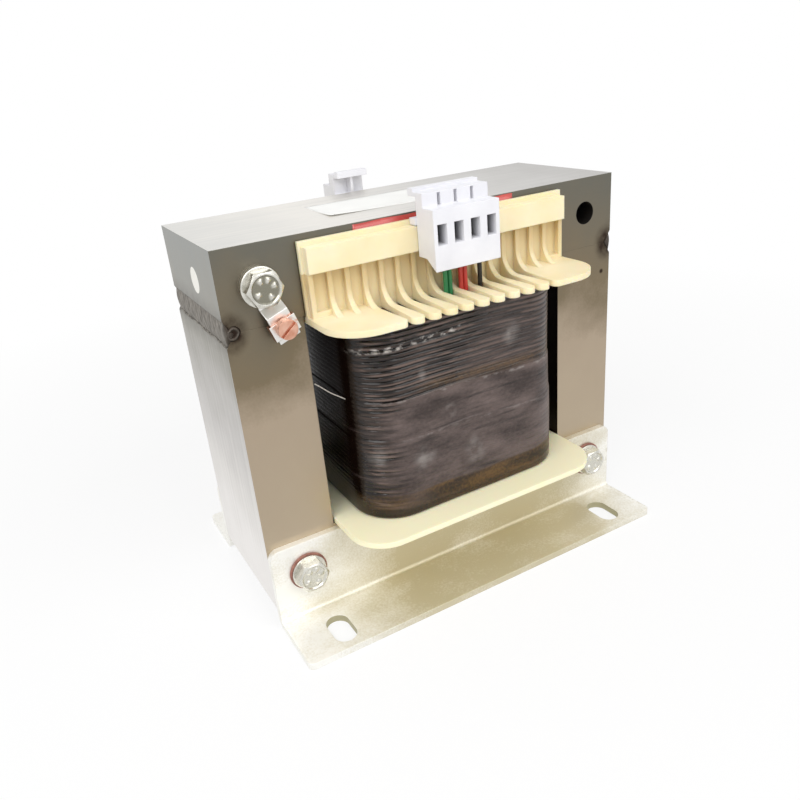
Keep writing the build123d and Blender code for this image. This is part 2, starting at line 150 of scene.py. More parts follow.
def smooth_step(value: Array, start: float, end: float) -> Array:
    """Gives the share of the way from start to end, clipped to 0..1, both ends eased with 3t^2 - 2t^3."""
    share = np.clip((value - start) / (end - start), 0.0, 1.0)
    return share * share * (3 - 2 * share)


def bell(value: Array, centre: Array | float, width: float) -> Array:
    """Gives a bell that is one at its centre: e to minus the square of the distance over the width."""
    return np.exp(-((value - centre) / width) ** 2)


def waves(terms: Waves, first: Array, second: Array | float = 0.0) -> Array:
    """Adds up sines: each height times the sine of rate times first, plus drift times second, plus lead."""
    return sum(w.height * np.sin(w.rate * first + w.drift * second + w.lead) for w in terms)


def round_angles(count: int) -> Array:
    """Gives even angles once round, shape (1, count)."""
    return np.linspace(0, FULL_TURN, count, endpoint=False)[None, :]


def rounded_loop(half: Pair, radius: float, corner_steps: int, side_steps: int) -> tuple[Array, Array]:
    """Walks round a rounded rectangle: four quarter arcs about the corner centres, joined by straight sides.

    Args:
        half: Half of the width and of the depth, in millimetres.
        radius: Corner radius in millimetres.
        corner_steps: Points on each arc.
        side_steps: Points between two arcs.

    Returns:
        Points and outward normals, each of shape (n, 2).
    """
    angle = np.linspace(0, math.pi / 2, corner_steps) + np.arange(4)[:, None] * math.pi / 2
    normal = np.stack([np.cos(angle), np.sin(angle)], axis=-1)
    sign = np.array([(1, 1), (-1, 1), (-1, -1), (1, -1)])
    centre = sign * (np.array(half) - radius)
    arc = centre[:, None, :] + radius * normal
    share = np.linspace(0, 1, side_steps + 2)[1:-1, None]
    follow = np.roll(arc[:, :1], -1, axis=0)
    side = arc[:, -1:] * (1 - share) + follow * share
    side_normal = np.repeat(normal[:, -1:], side_steps, axis=1)
    points = np.concatenate([arc, side], axis=1).reshape(-1, 2)
    normals = np.concatenate([normal, side_normal], axis=1).reshape(-1, 2)
    return points, normals


def turned(radius: Array, out: Array, angle: Array, centre: Pair, seat: float, facing: int) -> Array:
    """Turns rows of radii about an axis along y.

    x and z are the centre plus radius times cosine and sine; y is the seat plus the height out along the
    facing.

    Args:
        radius: Radii, shape (rows, columns).
        out: Heights above the seat, shape (rows, columns).
        angle: Angle of each column.
        centre: x and z of the axis.
        seat: y of the seat.
        facing: -1 for heights towards the front, 1 towards the rear.

    Returns:
        Points of shape (rows, columns, 3) in millimetres.
    """
    x = centre[0] + radius * np.cos(angle)
    z = centre[1] + radius * np.sin(angle)
    return np.stack([x, seat + facing * out, z], axis=-1)


def hexagon(angle: Array, across_flats: float) -> Array:
    """Gives a hexagon's radius, a corner at angle 0: half the flats over the cosine from the nearest flat."""
    return across_flats / 2 / np.cos(angle % (math.pi / 3) - math.pi / 6)


def make_piece(name: str, points: Array, wrap_rows: bool, wrap_columns: bool, sharp: float = 180.0,
               paint: Paint | None = None) -> Object:
    """Puts grids of points into one mesh object that rides on the body.

    Each cell of a grid is a four-sided face, and faces are turned so that a closed grid encloses a positive
    volume.

    Args:
        name: Name of the piece.
        points: One grid of shape (rows, columns, 3), or several with their number first, in millimetres.
        wrap_rows: Joins the last row to the first.
        wrap_columns: Joins the last column to the first.
        sharp: Edges that turn more than this many degrees are drawn sharp.
        paint: Values at the points for the material to read, by the name of their attribute.

    Returns:
        The new object.
    """
    grids = points.reshape(-1, *points.shape[-3:])
    count, rows, columns = grids.shape[:3]
    row = np.arange(rows if wrap_rows else rows - 1)[:, None]
    column = np.arange(columns if wrap_columns else columns - 1)[None, :]
    next_row, next_column = (row + 1) % rows, (column + 1) % columns
    corners = (row * columns + column, row * columns + next_column,
               next_row * columns + next_column, next_row * columns + column)
    quads = np.stack(corners, axis=-1).reshape(-1, 4)
    quads = (quads[None] + np.arange(count)[:, None, None] * rows * columns).reshape(-1, 4)
    spots = grids.reshape(-1, 3) * MM
    a, b, c, d = (spots[quads[:, i]] for i in range(4))
    if np.sum(np.cross(b - a, c - a) * a) + np.sum(np.cross(c - a, d - a) * a) < 0:
        quads = quads[:, ::-1]
    mesh = bpy.data.meshes.new(name)
    mesh.from_pydata(spots, [], quads)
    for label, values in (paint or {}).items():
        attribute = mesh.attributes.new(label, "FLOAT", "POINT")
        attribute.data.foreach_set("value", values.astype(np.float32).ravel())
    work = bmesh.new()
    work.from_mesh(mesh)
    bmesh.ops.remove_doubles(work, verts=work.verts, dist=MERGE_GAP)
    work.to_mesh(mesh)
    work.free()
    mesh.shade_smooth()
    mesh.set_sharp_from_angle(angle=math.radians(sharp))
    piece = bpy.data.objects.new(name, mesh)
    bpy.context.scene.collection.objects.link(piece)
    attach(piece, "root")
    LOG.info("built %s with %d faces", name, len(mesh.polygons))
    return piece


def finish_piece(piece: Object, material: Material, slot: str, *nodes: str) -> None:
    """Gives a new piece its material and hides the CAD nodes it stands for.

    Args:
        piece: The new object.
        material: Its finish.
        slot: Material slot of the record; not used.
        nodes: CAD nodes that it replaces.
    """
    piece.data.materials.append(material)
    if nodes:
        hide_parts(*nodes)


def dress(node: str, material: Material, edge: float = 0.0) -> None:
    """Gives a CAD node its material and, if asked, softly broken edges.

    Args:
        node: Name of the CAD node.
        material: Its finish.
        edge: Width of the broken edge in millimetres, or zero for none.
    """
    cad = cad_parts[node]
    cad.data.materials.clear()
    cad.data.materials.append(material)
    if edge:
        joined = cad.modifiers.new("joined faces", "WELD")
        joined.merge_threshold = MERGE_GAP
        broken = cad.modifiers.new("broken edges", "BEVEL")
        broken.width = edge * MM
        broken.segments = 2
        broken.limit_method = "ANGLE"
        broken.angle_limit = math.radians(40)
        even = cad.modifiers.new("even shading", "WEIGHTED_NORMAL")
        even.weight = 100
    LOG.info("dressed %s in %s", node, material.name)


class Graph:
    """A node tree and the one way to add nodes to it."""

    def __init__(self, tree: NodeTree) -> None:
        """Starts from an empty tree.

        Args:
            tree: Tree of a material or of the world.
        """
        self.tree = tree
        tree.nodes.clear()

    def feed(self, entry: NodeSocket, value: Feed) -> None:
        """Feeds an input.

        Args:
            entry: The input.
            value: A socket, a node whose first output in use is meant, a hex colour or another constant.
        """
        if isinstance(value, Node):
            value = next(socket for socket in value.outputs if socket.enabled)
        if isinstance(value, NodeSocket):
            self.tree.links.new(value, entry)
        else:
            entry.default_value = linear(value) if isinstance(value, str) else value

    def add(self, kind: str, feeds: dict | None = None, stops: Stops = (), **settings: object) -> Node:
        """Adds a node with its settings, ramp stops and inputs.

        Args:
            kind: Type name of the node, without the ShaderNode that starts them all.
            feeds: What feeds each input, by the input's name or number.
            stops: Position and hex colour of each stop of a colour ramp.
            settings: Properties of the node.

        Returns:
            The new node.
        """
        node = self.tree.nodes.new("ShaderNode" + kind)
        for name, value in settings.items():
            setattr(node, name, value)
        for number, (position, colour) in enumerate(stops):
            ramp = node.color_ramp.elements
            stop = ramp[0] if number == 0 else ramp[-1] if number == len(stops) - 1 else ramp.new(position)
            stop.position = position
            stop.color = linear(colour)
        for name, value in (feeds or {}).items():
            self.feed(node.inputs[name], value)
        return node


class Surface(Graph):
    """A material under construction: its shader, its object coordinates and the patterns drawn on them."""

    edge_samples: int = 6
    relief_strength: float = 0.4

    def __init__(self, name: str) -> None:
        """Starts the material with a shader wired to its output.

        Args:
            name: Name of the real material and how its surface was made.
        """
        self.material = bpy.data.materials.new(name)
        self.material.use_nodes = True
        super().__init__(self.material.node_tree)
        self.shader = self.add("BsdfPrincipled")
        self.output = self.add("OutputMaterial", {"Surface": self.shader})
        self.place = self.add("TexCoord").outputs["Object"]

    @cached_property
    def along(self) -> bpy.types.NodeOutputs:
        """Object coordinates one by one, by the letter of their axis."""
        return self.add("SeparateXYZ", {0: self.place}).outputs

    @cached_property
    def facing(self) -> bpy.types.NodeOutputs:
        """Parts of the surface's normal, by the letter of their axis."""
        return self.add("SeparateXYZ", {0: self.add("NewGeometry").outputs["Normal"]}).outputs

    def grain(self, grain: Grain) -> Node:
        """Draws a noise with values about 0.5.

        Args:
            grain: Its cells and its detail.

        Returns:
            The noise.
        """
        scale = tuple(1 / (length * MM) for length in grain.cell)
        spread = self.add("VectorMath", {0: self.place, 1: scale}, operation="MULTIPLY")
        return self.add("TexNoise", {"Vector": spread, "Scale": 1.0, "Detail": grain.detail})

    def patches(self, patch: Patch) -> Node:
        """Masks ragged patches: zero below the first level of a noise, full at the second.

        Args:
            patch: The noise, the levels and the full strength.

        Returns:
            Mask from zero to the full strength.
        """
        levels = {"From Min": patch.levels[0], "From Max": patch.levels[1], "To Max": patch.top}
        return self.add("MapRange", {"Value": self.grain(patch.grain), **levels})

    def spot(self, centre: Point, radius: float, soft: float, stretch: Point = (1, 1, 1)) -> Node:
        """Masks a spot that is one within a radius of a point and fades out.

        Args:
            centre: Point in millimetres.
            radius: Radius of the full mask in millimetres.
            soft: Width of the fade in millimetres.
            stretch: Factors on the distance along each axis.

        Returns:
            Mask from zero to one.
        """
        middle = tuple(length * MM for length in centre)
        away = self.add("VectorMath", {0: self.place, 1: middle}, operation="SUBTRACT")
        away = self.add("VectorMath", {0: away, 1: stretch}, operation="MULTIPLY")
        far = self.add("VectorMath", {0: away}, operation="LENGTH")
        reach = {"Value": far, "From Min": (radius + soft) * MM, "From Max": radius * MM}
        return self.add("MapRange", reach, interpolation_type="SMOOTHSTEP")

    def coat(self, tone: Feed, *layers: tuple[Feed, Feed]) -> Feed:
        """Lays colours over a tone, one after the other.

        Args:
            tone: The tone below.
            layers: Mask and colour of each layer.

        Returns:
            The covered tone.
        """
        for mask, colour in layers:
            tone = self.add("Mix", {0: mask, 6: tone, 7: colour}, data_type="RGBA")
        return tone

    def relief(self, height: Feed, depth: float, edge: float) -> Node:
        """Gives the normal of softly broken edges under a fine relief.

        Args:
            height: Pattern of the relief.
            depth: Depth of the relief in millimetres.
            edge: Radius of the broken edges in millimetres.

        Returns:
            Normal for the shader.
        """
        soft = self.add("Bevel", {"Radius": edge * MM}, samples=self.edge_samples)
        bump = {"Height": height, "Strength": self.relief_strength, "Distance": depth * MM, "Normal": soft}
        return self.add("Bump", bump)

    def shade(self, values: dict[str, Feed]) -> Material:
        """Feeds the shader.

        Args:
            values: What feeds each input, by the input's name.

        Returns:
            The finished material.
        """
        for name, value in values.items():
            self.feed(self.shader.inputs[name], value)
        return self.material


@dataclass(frozen=True, kw_only=True)
class Finish:
    """What most finishes state: range of roughness, share of metal, depth of relief, radius of soft edges."""

    rough: Pair = (0.4, 0.5)
    metallic: float = 0.0
    relief: float = 0.02
    edge: float = 0.15

    def close(self, work: Surface, tone: Feed, wear: Feed, height: Feed,
              extra: dict[str, Feed] | None = None) -> Material:
        """Feeds the shader with the finish.

        Args:
            work: The material under construction.
            tone: Its colour.
            wear: Pattern that its roughness follows.
            height: Pattern of its relief.
            extra: What feeds other inputs of the shader, by the input's name.

        Returns:
            The finished material.
        """
        rough = work.add("MapRange", {"Value": wear, "To Min": self.rough[0], "To Max": self.rough[1]})
        values = {"Base Color": tone, "Metallic": self.metallic, "Roughness": rough,
                  "Normal": work.relief(height, self.relief, self.edge)}
        return work.shade(values | (extra or {}))


@dataclass(frozen=True, kw_only=True)
class SteelPlates(Finish):
    """Silicon steel, cold rolled, punched and stacked: dull oxide on flats, bright lines on cut edges, a
    painted reflection of the floor low down.
    """

    half_width: float
    half_depth: float
    joint_level: float
    # Painted reflection of the floor: flats and cut edges run from pale low down to dark high up; top faces
    # run from pale near the label to grey at the right.
    flats: Stops = ((0.1, "#b7a892"), (0.48, "#b0a08c"), (0.66, "#80735d"), (1.0, "#6c6a61"))
    edges: Stops = ((0.0, "#efece9"), (0.25, "#e0ddd9"), (0.45, "#cbc8c5"), (0.72, "#9b988f"),
                    (1.0, "#9b9c98"))
    tops_with_reflection: Stops = ((0.0, "#d7d6d2"), (0.3, "#e8e5df"), (0.62, "#cdcbc8"), (0.95, "#bab8b5"))
    varnished: str = "#2a2019"
    scorch: str = "#35291f"
    # Painted shade inside the spare bolt hole.
    bore: str = "#1b1815"
    paper: str = "#f0eee6"
    # Heights between which the painted reflection fades out on flats and cut edges.
    levels: Pair = (20.0, 132.0)
    cloud: Grain = Grain((22, 22, 22), 4.0)
    speck: Grain = Grain((0.8, 0.8, 0.8), 2.0)
    # Plates are 0.5 mm thick; their edges are drawn 0.9 mm wide so that they show.
    plates: Grain = Grain((80, 0.9, 80), 1.0)
    # Share of the fine grain in a tone's drift, and how far the drift sways.
    flat_drift: Pair = (0.12, 0.2)
    edge_drift: Pair = (0.5, 0.3)
    facing_limit: float = 0.6
    window_half: float = 50.3
    window_margin: float = 1.0
    spare_hole: Pair = (62.5, 119.5)
    hole_radius: float = 4.03
    hole_fade: float = 0.05
    sticker: Pair = (-4.8, 119.4)
    sticker_radius: float = 4.0
    sticker_fade: float = 0.25
    sticker_stretch: Point = (4, 1, 1)
    stamp: Pair = (71.2, 96.3)
    stamp_radius: float = 0.4
    stamp_fade: float = 0.8
    smoke: Grain = Grain((3, 3, 3), 4.0)
    joint_half: float = 0.05
    joint_fade: float = 0.12
    joint_strength: float = 0.2
    burn_radius: float = 2.0
    burn_inset: float = 2.0
    end_fade: float = 4.5
    end_stretch: Point = (1, 1, 0.8)
    end_strength: float = 1.7
    seam_fade: float = 5.0
    seam_stretch: Point = (1, 0, 0.7)
    seam_strength: float = 0.6
    rough: Pair = (0.38, 0.5)
    metallic: float = 0.88
    relief: float = 0.03
    edge: float = 0.3

    def make(self) -> Material:
        """Builds the material.

        Returns:
            The finished material.
        """
        work = Surface("silicon steel plate, cold rolled, punched and stacked")
        cloud, speck, lines = (work.grain(grain) for grain in (self.cloud, self.speck, self.plates))
        # Painted reflection: the flats' oxide is painted paler low down and darker and greyer towards the
        # yoke, the cut edges likewise, and the top faces are painted palest near the label and greyer to the
        # right.
        tones_with_reflection = []
        for axis, ends, noise, (fine_share, sway), stops in (
                ("Z", self.levels, speck, self.flat_drift, self.flats),
                ("Z", self.levels, lines, self.edge_drift, self.edges),
                ("X", (-self.half_width, self.half_width), lines, self.edge_drift, self.tops_with_reflection)):
            drift = work.add("Mix", {0: fine_share, 2: cloud, 3: noise})
            drift = work.add("MapRange", {"Value": drift, "To Min": -sway, "To Max": sway})
            way = {"Value": work.along[axis], "From Min": ends[0] * MM, "From Max": ends[1] * MM}
            way = work.add("Math", {0: work.add("MapRange", way), 1: drift}, operation="ADD")
            tones_with_reflection.append(work.add("ValToRGB", {"Fac": way}, stops=stops))
        flat_tone_with_reflection, edge_tone_with_reflection, top_tone_with_reflection = tones_with_reflection
        flat = work.add("Math", {0: work.facing["Y"]}, operation="ABSOLUTE")
        flat = work.add("Math", {0: flat, 1: self.facing_limit}, operation="GREATER_THAN")
        top = work.add("Math", {0: work.facing["Z"], 1: self.facing_limit}, operation="GREATER_THAN")
        # Varnish ran over the edges inside the windows.
        window = work.add("Math", {0: work.along["X"]}, operation="ABSOLUTE")
        window = work.add("Math", {0: window, 1: self.window_half * MM}, operation="LESS_THAN")
        window_top = (self.joint_level + self.window_margin) * MM
        low = work.add("Math", {0: work.along["Z"], 1: window_top}, operation="LESS_THAN")
        window = work.add("Math", {0: window, 1: low}, operation="MULTIPLY")
        # Painted shade: the spare bolt hole is painted dark through the whole stack.
        hole_shade = (self.spare_hole[0], 0, self.spare_hole[1])
        hole_shade = work.spot(hole_shade, self.hole_radius, self.hole_fade, (1, 0, 1))
        sticker = (-self.half_width, *self.sticker)
        sticker = work.spot(sticker, self.sticker_radius, self.sticker_fade, self.sticker_stretch)
        stamp = (self.stamp[0], -self.half_depth, self.stamp[1])
        stamp = work.spot(stamp, self.stamp_radius, self.stamp_fade)
        tone = work.coat(edge_tone_with_reflection, (top, top_tone_with_reflection), (window, self.varnished), (flat, flat_tone_with_reflection),
                         (self.heat(work), self.scorch), (stamp, self.scorch), (hole_shade, self.bore),
                         (sticker, self.paper))
        dull = work.add("Math", {0: sticker, 1: hole_shade}, operation="MAXIMUM")
        metal = work.add("MapRange", {"Value": dull, "To Min": self.metallic, "To Max": 0.0})
        return self.close(work, tone, cloud, lines, {"Metallic": metal})

    def heat(self, work: Surface) -> Node:
        """Masks the scorched ends of the welds, the tint along them and the faint line of the joint.

        Args:
            work: The material under construction.

        Returns:
            Mask from zero to one.
        """
        smoke = work.grain(self.smoke)
        joint = work.spot((0, 0, self.joint_level), self.joint_half, self.joint_fade, (0, 0, 1))
        mask = work.add("Math", {0: joint, 1: self.joint_strength}, operation="MULTIPLY")
        end_x = self.half_width - self.burn_inset
        end = (self.end_fade, self.end_stretch, self.end_strength)
        seam = (self.seam_fade, self.seam_stretch, self.seam_strength)
        burns = [(side.value * end_x, face * self.half_depth, *end) for side in Side for face in (-1, 1)]
        burns += [(side.value * self.half_width, 0, *seam) for side in Side]
        for x, y, fade, stretch, strength in burns:
            burn = work.spot((x, y, self.joint_level), self.burn_radius, fade, stretch)
            burn = work.add("Math", {0: burn, 1: smoke}, operation="MULTIPLY")
            burn = work.add("Math", {0: burn, 1: strength}, operation="MULTIPLY", use_clamp=True)
            mask = work.add("Math", {0: mask, 1: burn}, operation="MAXIMUM")
        return mask


@dataclass(frozen=True)
class PlainFinish(Finish):
    """One material with a two-tone grain, and a tone of its own in the recesses that a piece paints."""

    name: str
    dark: str
    pale: str
    cell: Point
    detail: float = 4.0
    coat: float = 0.0
    recess: str = ""

    def make(self) -> Material:
        """Builds the material.

        Returns:
            The finished material.
        """
        work = Surface(self.name)
        grain = work.grain(Grain(self.cell, self.detail))
        tone = work.add("ValToRGB", {"Fac": grain}, stops=((MOTTLE[0], self.dark), (MOTTLE[1], self.pale)))
        if self.recess:
            deep = work.add("Attribute", attribute_name="recess").outputs["Fac"]
            tone = work.coat(tone, (deep, self.recess))
        return self.close(work, tone, grain, grain, {"Coat Weight": self.coat})


# Cast steel bead: dull grey with small bright scales, burnt brown in its end crater.
WELD = PlainFinish("mild steel weld bead, as welded", "#5b564e", "#969087", (2.5, 1.5, 2.5),
                   recess="#2b1f18", rough=(0.45, 0.6), metallic=0.85, relief=0.03)
# Bright zinc on turned and forged fasteners.
ZINC_BRIGHT = PlainFinish("steel fastener, bright zinc plated", "#c6c4bb", "#e2e0d8", (2, 2, 2),
                          recess="#d2d0c6", rough=(0.2, 0.34), metallic=1.0)
# The earthing bolt has lost its shine: grey in the pressed head, bright on its marks and corners.
ZINC_WORN = PlainFinish("steel bolt, zinc plated and worn", "#c3c1b8", "#dfddd5", (2, 2, 2),
                        recess="#8a8779", rough=(0.2, 0.34), metallic=1.0)
# Tinned tab: whiter and smoother than zinc.
TINNED = PlainFinish("steel tab, tin plated", "#dbd9d4", "#f0efec", (4, 4, 4),
                     rough=(0.24, 0.36), metallic=1.0)
# Copper-flashed screw: warm pink.
COPPERED = PlainFinish("steel screw, copper flashed", "#c98a70", "#e6b8a2", (3, 3, 3),
                       rough=(0.25, 0.4), metallic=1.0)
# Steel clamp plates deep in the entries, painted dark as painted shade.
CLAMP_SHADE = PlainFinish("steel clamp plate, oiled", "#29292b", "#454548", (2, 2, 2),
                    rough=(0.4, 0.55), metallic=0.4)
# Vulcanised fibre washer: dusty red-brown, matt.
FIBRE = PlainFinish("vulcanised fibre, punched", "#7b4f45", "#a67565", (1.5, 1.5, 1.5),
                    rough=(0.55, 0.7), relief=0.03)
# Coated paper: white, barely glossy.
PAPER = PlainFinish("coated paper label, bare", "#ebebe8", "#f5f5f2", (18, 18, 18), rough=(0.42, 0.55))
# Polyester film tape: red with a gloss.
TAPE = PlainFinish("polyester film tape, slit", "#b53a33", "#c94f46", (8, 2, 4), coat=0.4, rough=(0.2, 0.32))
# Cotton lacing thread: dusty grey-white and matt.
THREAD = PlainFinish("cotton lacing thread, twisted", "#a39e95", "#c2bdb3", (0.6, 0.6, 0.6),
                     rough=(0.7, 0.85), relief=0.04)


@dataclass(frozen=True, kw_only=True)
class ZincSheet(Finish):
    """Rolled sheet, zinc plated and passivated: cloudy straw tint, a pale painted highlight near the ends,
    cut walls dull and darkened as painted shade.
    """

    straw: str = "#cdc4a8"
    # Painted highlight: the pale colour that the sheet turns to towards both ends.
    silver_highlight: str = "#f8f7f2"
    # Bare steel of the torn ends and of the slots' walls, darkened on the walls as painted shade.
    cut: str = "#b5af90"
    cloud: Grain = Grain((16, 9, 9), 5.0)
    speck: Grain = Grain((0.7, 0.7, 0.7), 2.0)
    speck_share: float = 0.4
    # x at which the painted highlight starts and where it is full, at the left end and at the right end.
    left_highlight_fade: Pair = (-27.0, -68.0)
    right_highlight_fade: Pair = (48.0, 80.0)
    right_rim: Pair = (73.8, 74.2)
    torn: Patch = Patch(Grain((3, 1.3, 3), 1.0), (0.52, 0.6), 0.3)
    slot_centre: Pair = (59.0, 44.0)
    slot_half: Pair = (4.3, 7.3)
    flat_level: float = 2.6
    wall_limit: float = 0.6
    rough: Pair = (0.44, 0.58)
    metallic: float = 0.6
    edge: float = 0.4

    def make(self) -> Material:
        """Builds the material.

        Returns:
            The finished material.
        """
        work = Surface("mild steel sheet, zinc plated and passivated")
        cloud, speck = work.grain(self.cloud), work.grain(self.speck)
        # Painted highlight: towards both ends the straw gives way to the pale painted highlight.
        left, right, rim = (
            work.add("MapRange", {"Value": work.along["X"], "From Min": start * MM, "From Max": end * MM})
            for start, end in (self.left_highlight_fade, self.right_highlight_fade, self.right_rim))
        share = work.add("Math", {0: left, 1: right}, operation="MAXIMUM")
        drift = work.add("Mix", {0: self.speck_share, 2: cloud, 3: speck})
        drift = work.add("MapRange", {"Value": drift, "To Min": -1.0, "To Max": 1.0})
        share = work.add("Math", {0: share, 1: drift}, operation="ADD")
        tone = work.add("ValToRGB", {"Fac": share}, stops=((0.0, self.straw), (1.0, self.silver_highlight)))
        # The punched slots' walls are bare steel and are painted darker as painted shade, and the right ends
        # were torn a little by the shears.
        bare = work.add("Math", {0: work.facing["Z"], 1: 0.0, 2: self.wall_limit}, operation="COMPARE")
        low = work.add("Math", {0: work.along["Z"], 1: self.flat_level * MM}, operation="LESS_THAN")
        bare = work.add("Math", {0: bare, 1: low}, operation="MULTIPLY")
        for axis, centre, reach in zip("XY", self.slot_centre, self.slot_half):
            near = work.add("Math", {0: work.along[axis]}, operation="ABSOLUTE")
            near = work.add("Math", {0: near, 1: centre * MM, 2: reach * MM}, operation="COMPARE")
            bare = work.add("Math", {0: bare, 1: near}, operation="MULTIPLY")
        torn = work.add("Math", {0: rim, 1: work.patches(self.torn)}, operation="MULTIPLY")
        bare = work.add("Math", {0: bare, 1: torn}, operation="MAXIMUM")
        return self.close(work, work.coat(tone, (bare, self.cut)), cloud, speck)


@dataclass(frozen=True, kw_only=True)
class BlockPlastic(Finish):
    """Plain polyamide as moulded: cold white and satin, with painted shade darkening into the wire entries.
    """

    centre: float
    half_run: float
    dark: str = "#e1e1e6"
    pale: str = "#ebebef"
    entry_painted_shade: str = "#15151b"
    cloud: Grain = Grain((9, 9, 9), 4.0)
    entry_levels: Pair = (123.0, 130.0)
    entry_reach: Pair = (41.4, 37.6)
    entry_shade: float = 0.9
    rough: Pair = (0.38, 0.48)
    edge: float = 0.35

    def make(self) -> Material:
        """Builds the material.

        Returns:
            The finished material.
        """
        work = Surface("polyamide terminal block, injection moulded")
        grain = work.grain(self.cloud)
        tone = work.add("ValToRGB", {"Fac": grain}, stops=((MOTTLE[0], self.dark), (MOTTLE[1], self.pale)))
        # Painted shade: the entries swallow the light within a few millimetres, so they are painted dark.
        back = work.add("Math", {0: work.along["Y"]}, operation="ABSOLUTE")
        mouth, floor = self.entry_reach
        deep = {"Value": back, "From Min": mouth * MM, "From Max": floor * MM, "To Max": self.entry_shade}
        deep = work.add("MapRange", deep)
        bottom, top = self.entry_levels
        level, tall = (bottom + top) / 2, (top - bottom) / 2
        for axis, middle, half in (("X", self.centre, self.half_run), ("Z", level, tall)):
            inside = {0: work.along[axis], 1: middle * MM, 2: half * MM}
            inside = work.add("Math", inside, operation="COMPARE")
            deep = work.add("Math", {0: deep, 1: inside}, operation="MULTIPLY")
        return self.close(work, work.coat(tone, (deep, self.entry_painted_shade)), grain, grain)


@dataclass(frozen=True, kw_only=True)
class FormerPlastic(Finish):
    """Glass-filled polyamide as moulded: warm cream, glowing at thin edges, with painted shade between the
    fins and painted light on the lower flange.
    """

    dark: str = "#f0e1b6"
    pale: str = "#f6ebcb"
    # Painted light on the lower flange.
    flange_painted_light: str = "#fdf5d3"
    # Painted shade on the wall between the fins.
    root: str = "#cfb580"
    cloud: Grain = Grain((14, 14, 14), 4.0)
    root_shade_reach: Pair = (37.0, 30.0)
    root_shade_levels: Pair = (105.0, 117.0)
    root_shade: float = 0.8
    rail_level: float = 120.3
    flange_light_level: float = 60.0
    glow: float = 0.35
    glow_radius: Point = (1.0, 0.65, 0.3)
    glow_depth: float = 2.0
    rough: Pair = (0.4, 0.52)
    edge: float = 0.6

    def make(self) -> Material:
        """Builds the material.

        Returns:
            The finished material.
        """
        work = Surface("glass-filled polyamide, injection moulded")
        grain = work.grain(self.cloud)
        tone = work.add("ValToRGB", {"Fac": grain}, stops=((MOTTLE[0], self.dark), (MOTTLE[1], self.pale)))
        # Painted light: the lower flange is painted paler.
        low = work.add("Math", {0: work.along["Z"], 1: self.flange_light_level * MM}, operation="LESS_THAN")
        # Painted shade: the wall behind the fins is painted deeper and yellower than the thin fins, most just
        # below the rail.
        back = work.add("Math", {0: work.along["Y"]}, operation="ABSOLUTE")
        tip, wall = self.root_shade_reach
        deep = {"Value": back, "From Min": tip * MM, "From Max": wall * MM, "To Max": self.root_shade}
        deep = work.add("MapRange", deep)
        bottom, top = self.root_shade_levels
        shade_rise = work.add("MapRange", {"Value": work.along["Z"], "From Min": bottom * MM, "From Max": top * MM})
        below = work.add("Math", {0: work.along["Z"], 1: self.rail_level * MM}, operation="LESS_THAN")
        for share in (shade_rise, below):
            deep = work.add("Math", {0: deep, 1: share}, operation="MULTIPLY")
        tone = work.coat(tone, (low, self.flange_painted_light), (deep, self.root))
        glow = {"Subsurface Weight": self.glow, "Subsurface Radius": self.glow_radius,
                "Subsurface Scale": self.glow_depth * MM}
        return self.close(work, tone, grain, grain, glow)


@dataclass(frozen=True, kw_only=True)
class FlashedSaddle(Finish):
    """Bent strip, tin plated on its face, with copper showing on the bent lips."""

    tin: str = "#e9e7e3"
    copper: str = "#d09a84"
    cloud: Grain = Grain((2.5, 2.5, 2.5), 3.0)
    tin_levels: Pair = (0.24, 0.4)
    rough: Pair = (0.24, 0.4)
    metallic: float = 1.0

    def make(self) -> Material:
        """Builds the material.

        Returns:
            The finished material.
        """
        work = Surface("steel saddle, copper flashed and tin plated")
        grain = work.grain(self.cloud)
        face = work.add("Math", {0: work.facing["Y"]}, operation="ABSOLUTE")
        face = work.add("Math", {0: face, 1: grain}, operation="MULTIPLY")
        start, full = self.tin_levels
        face = work.add("MapRange", {"Value": face, "From Min": start, "From Max": full})
        return self.close(work, work.coat(self.copper, (face, self.tin)), grain, grain)


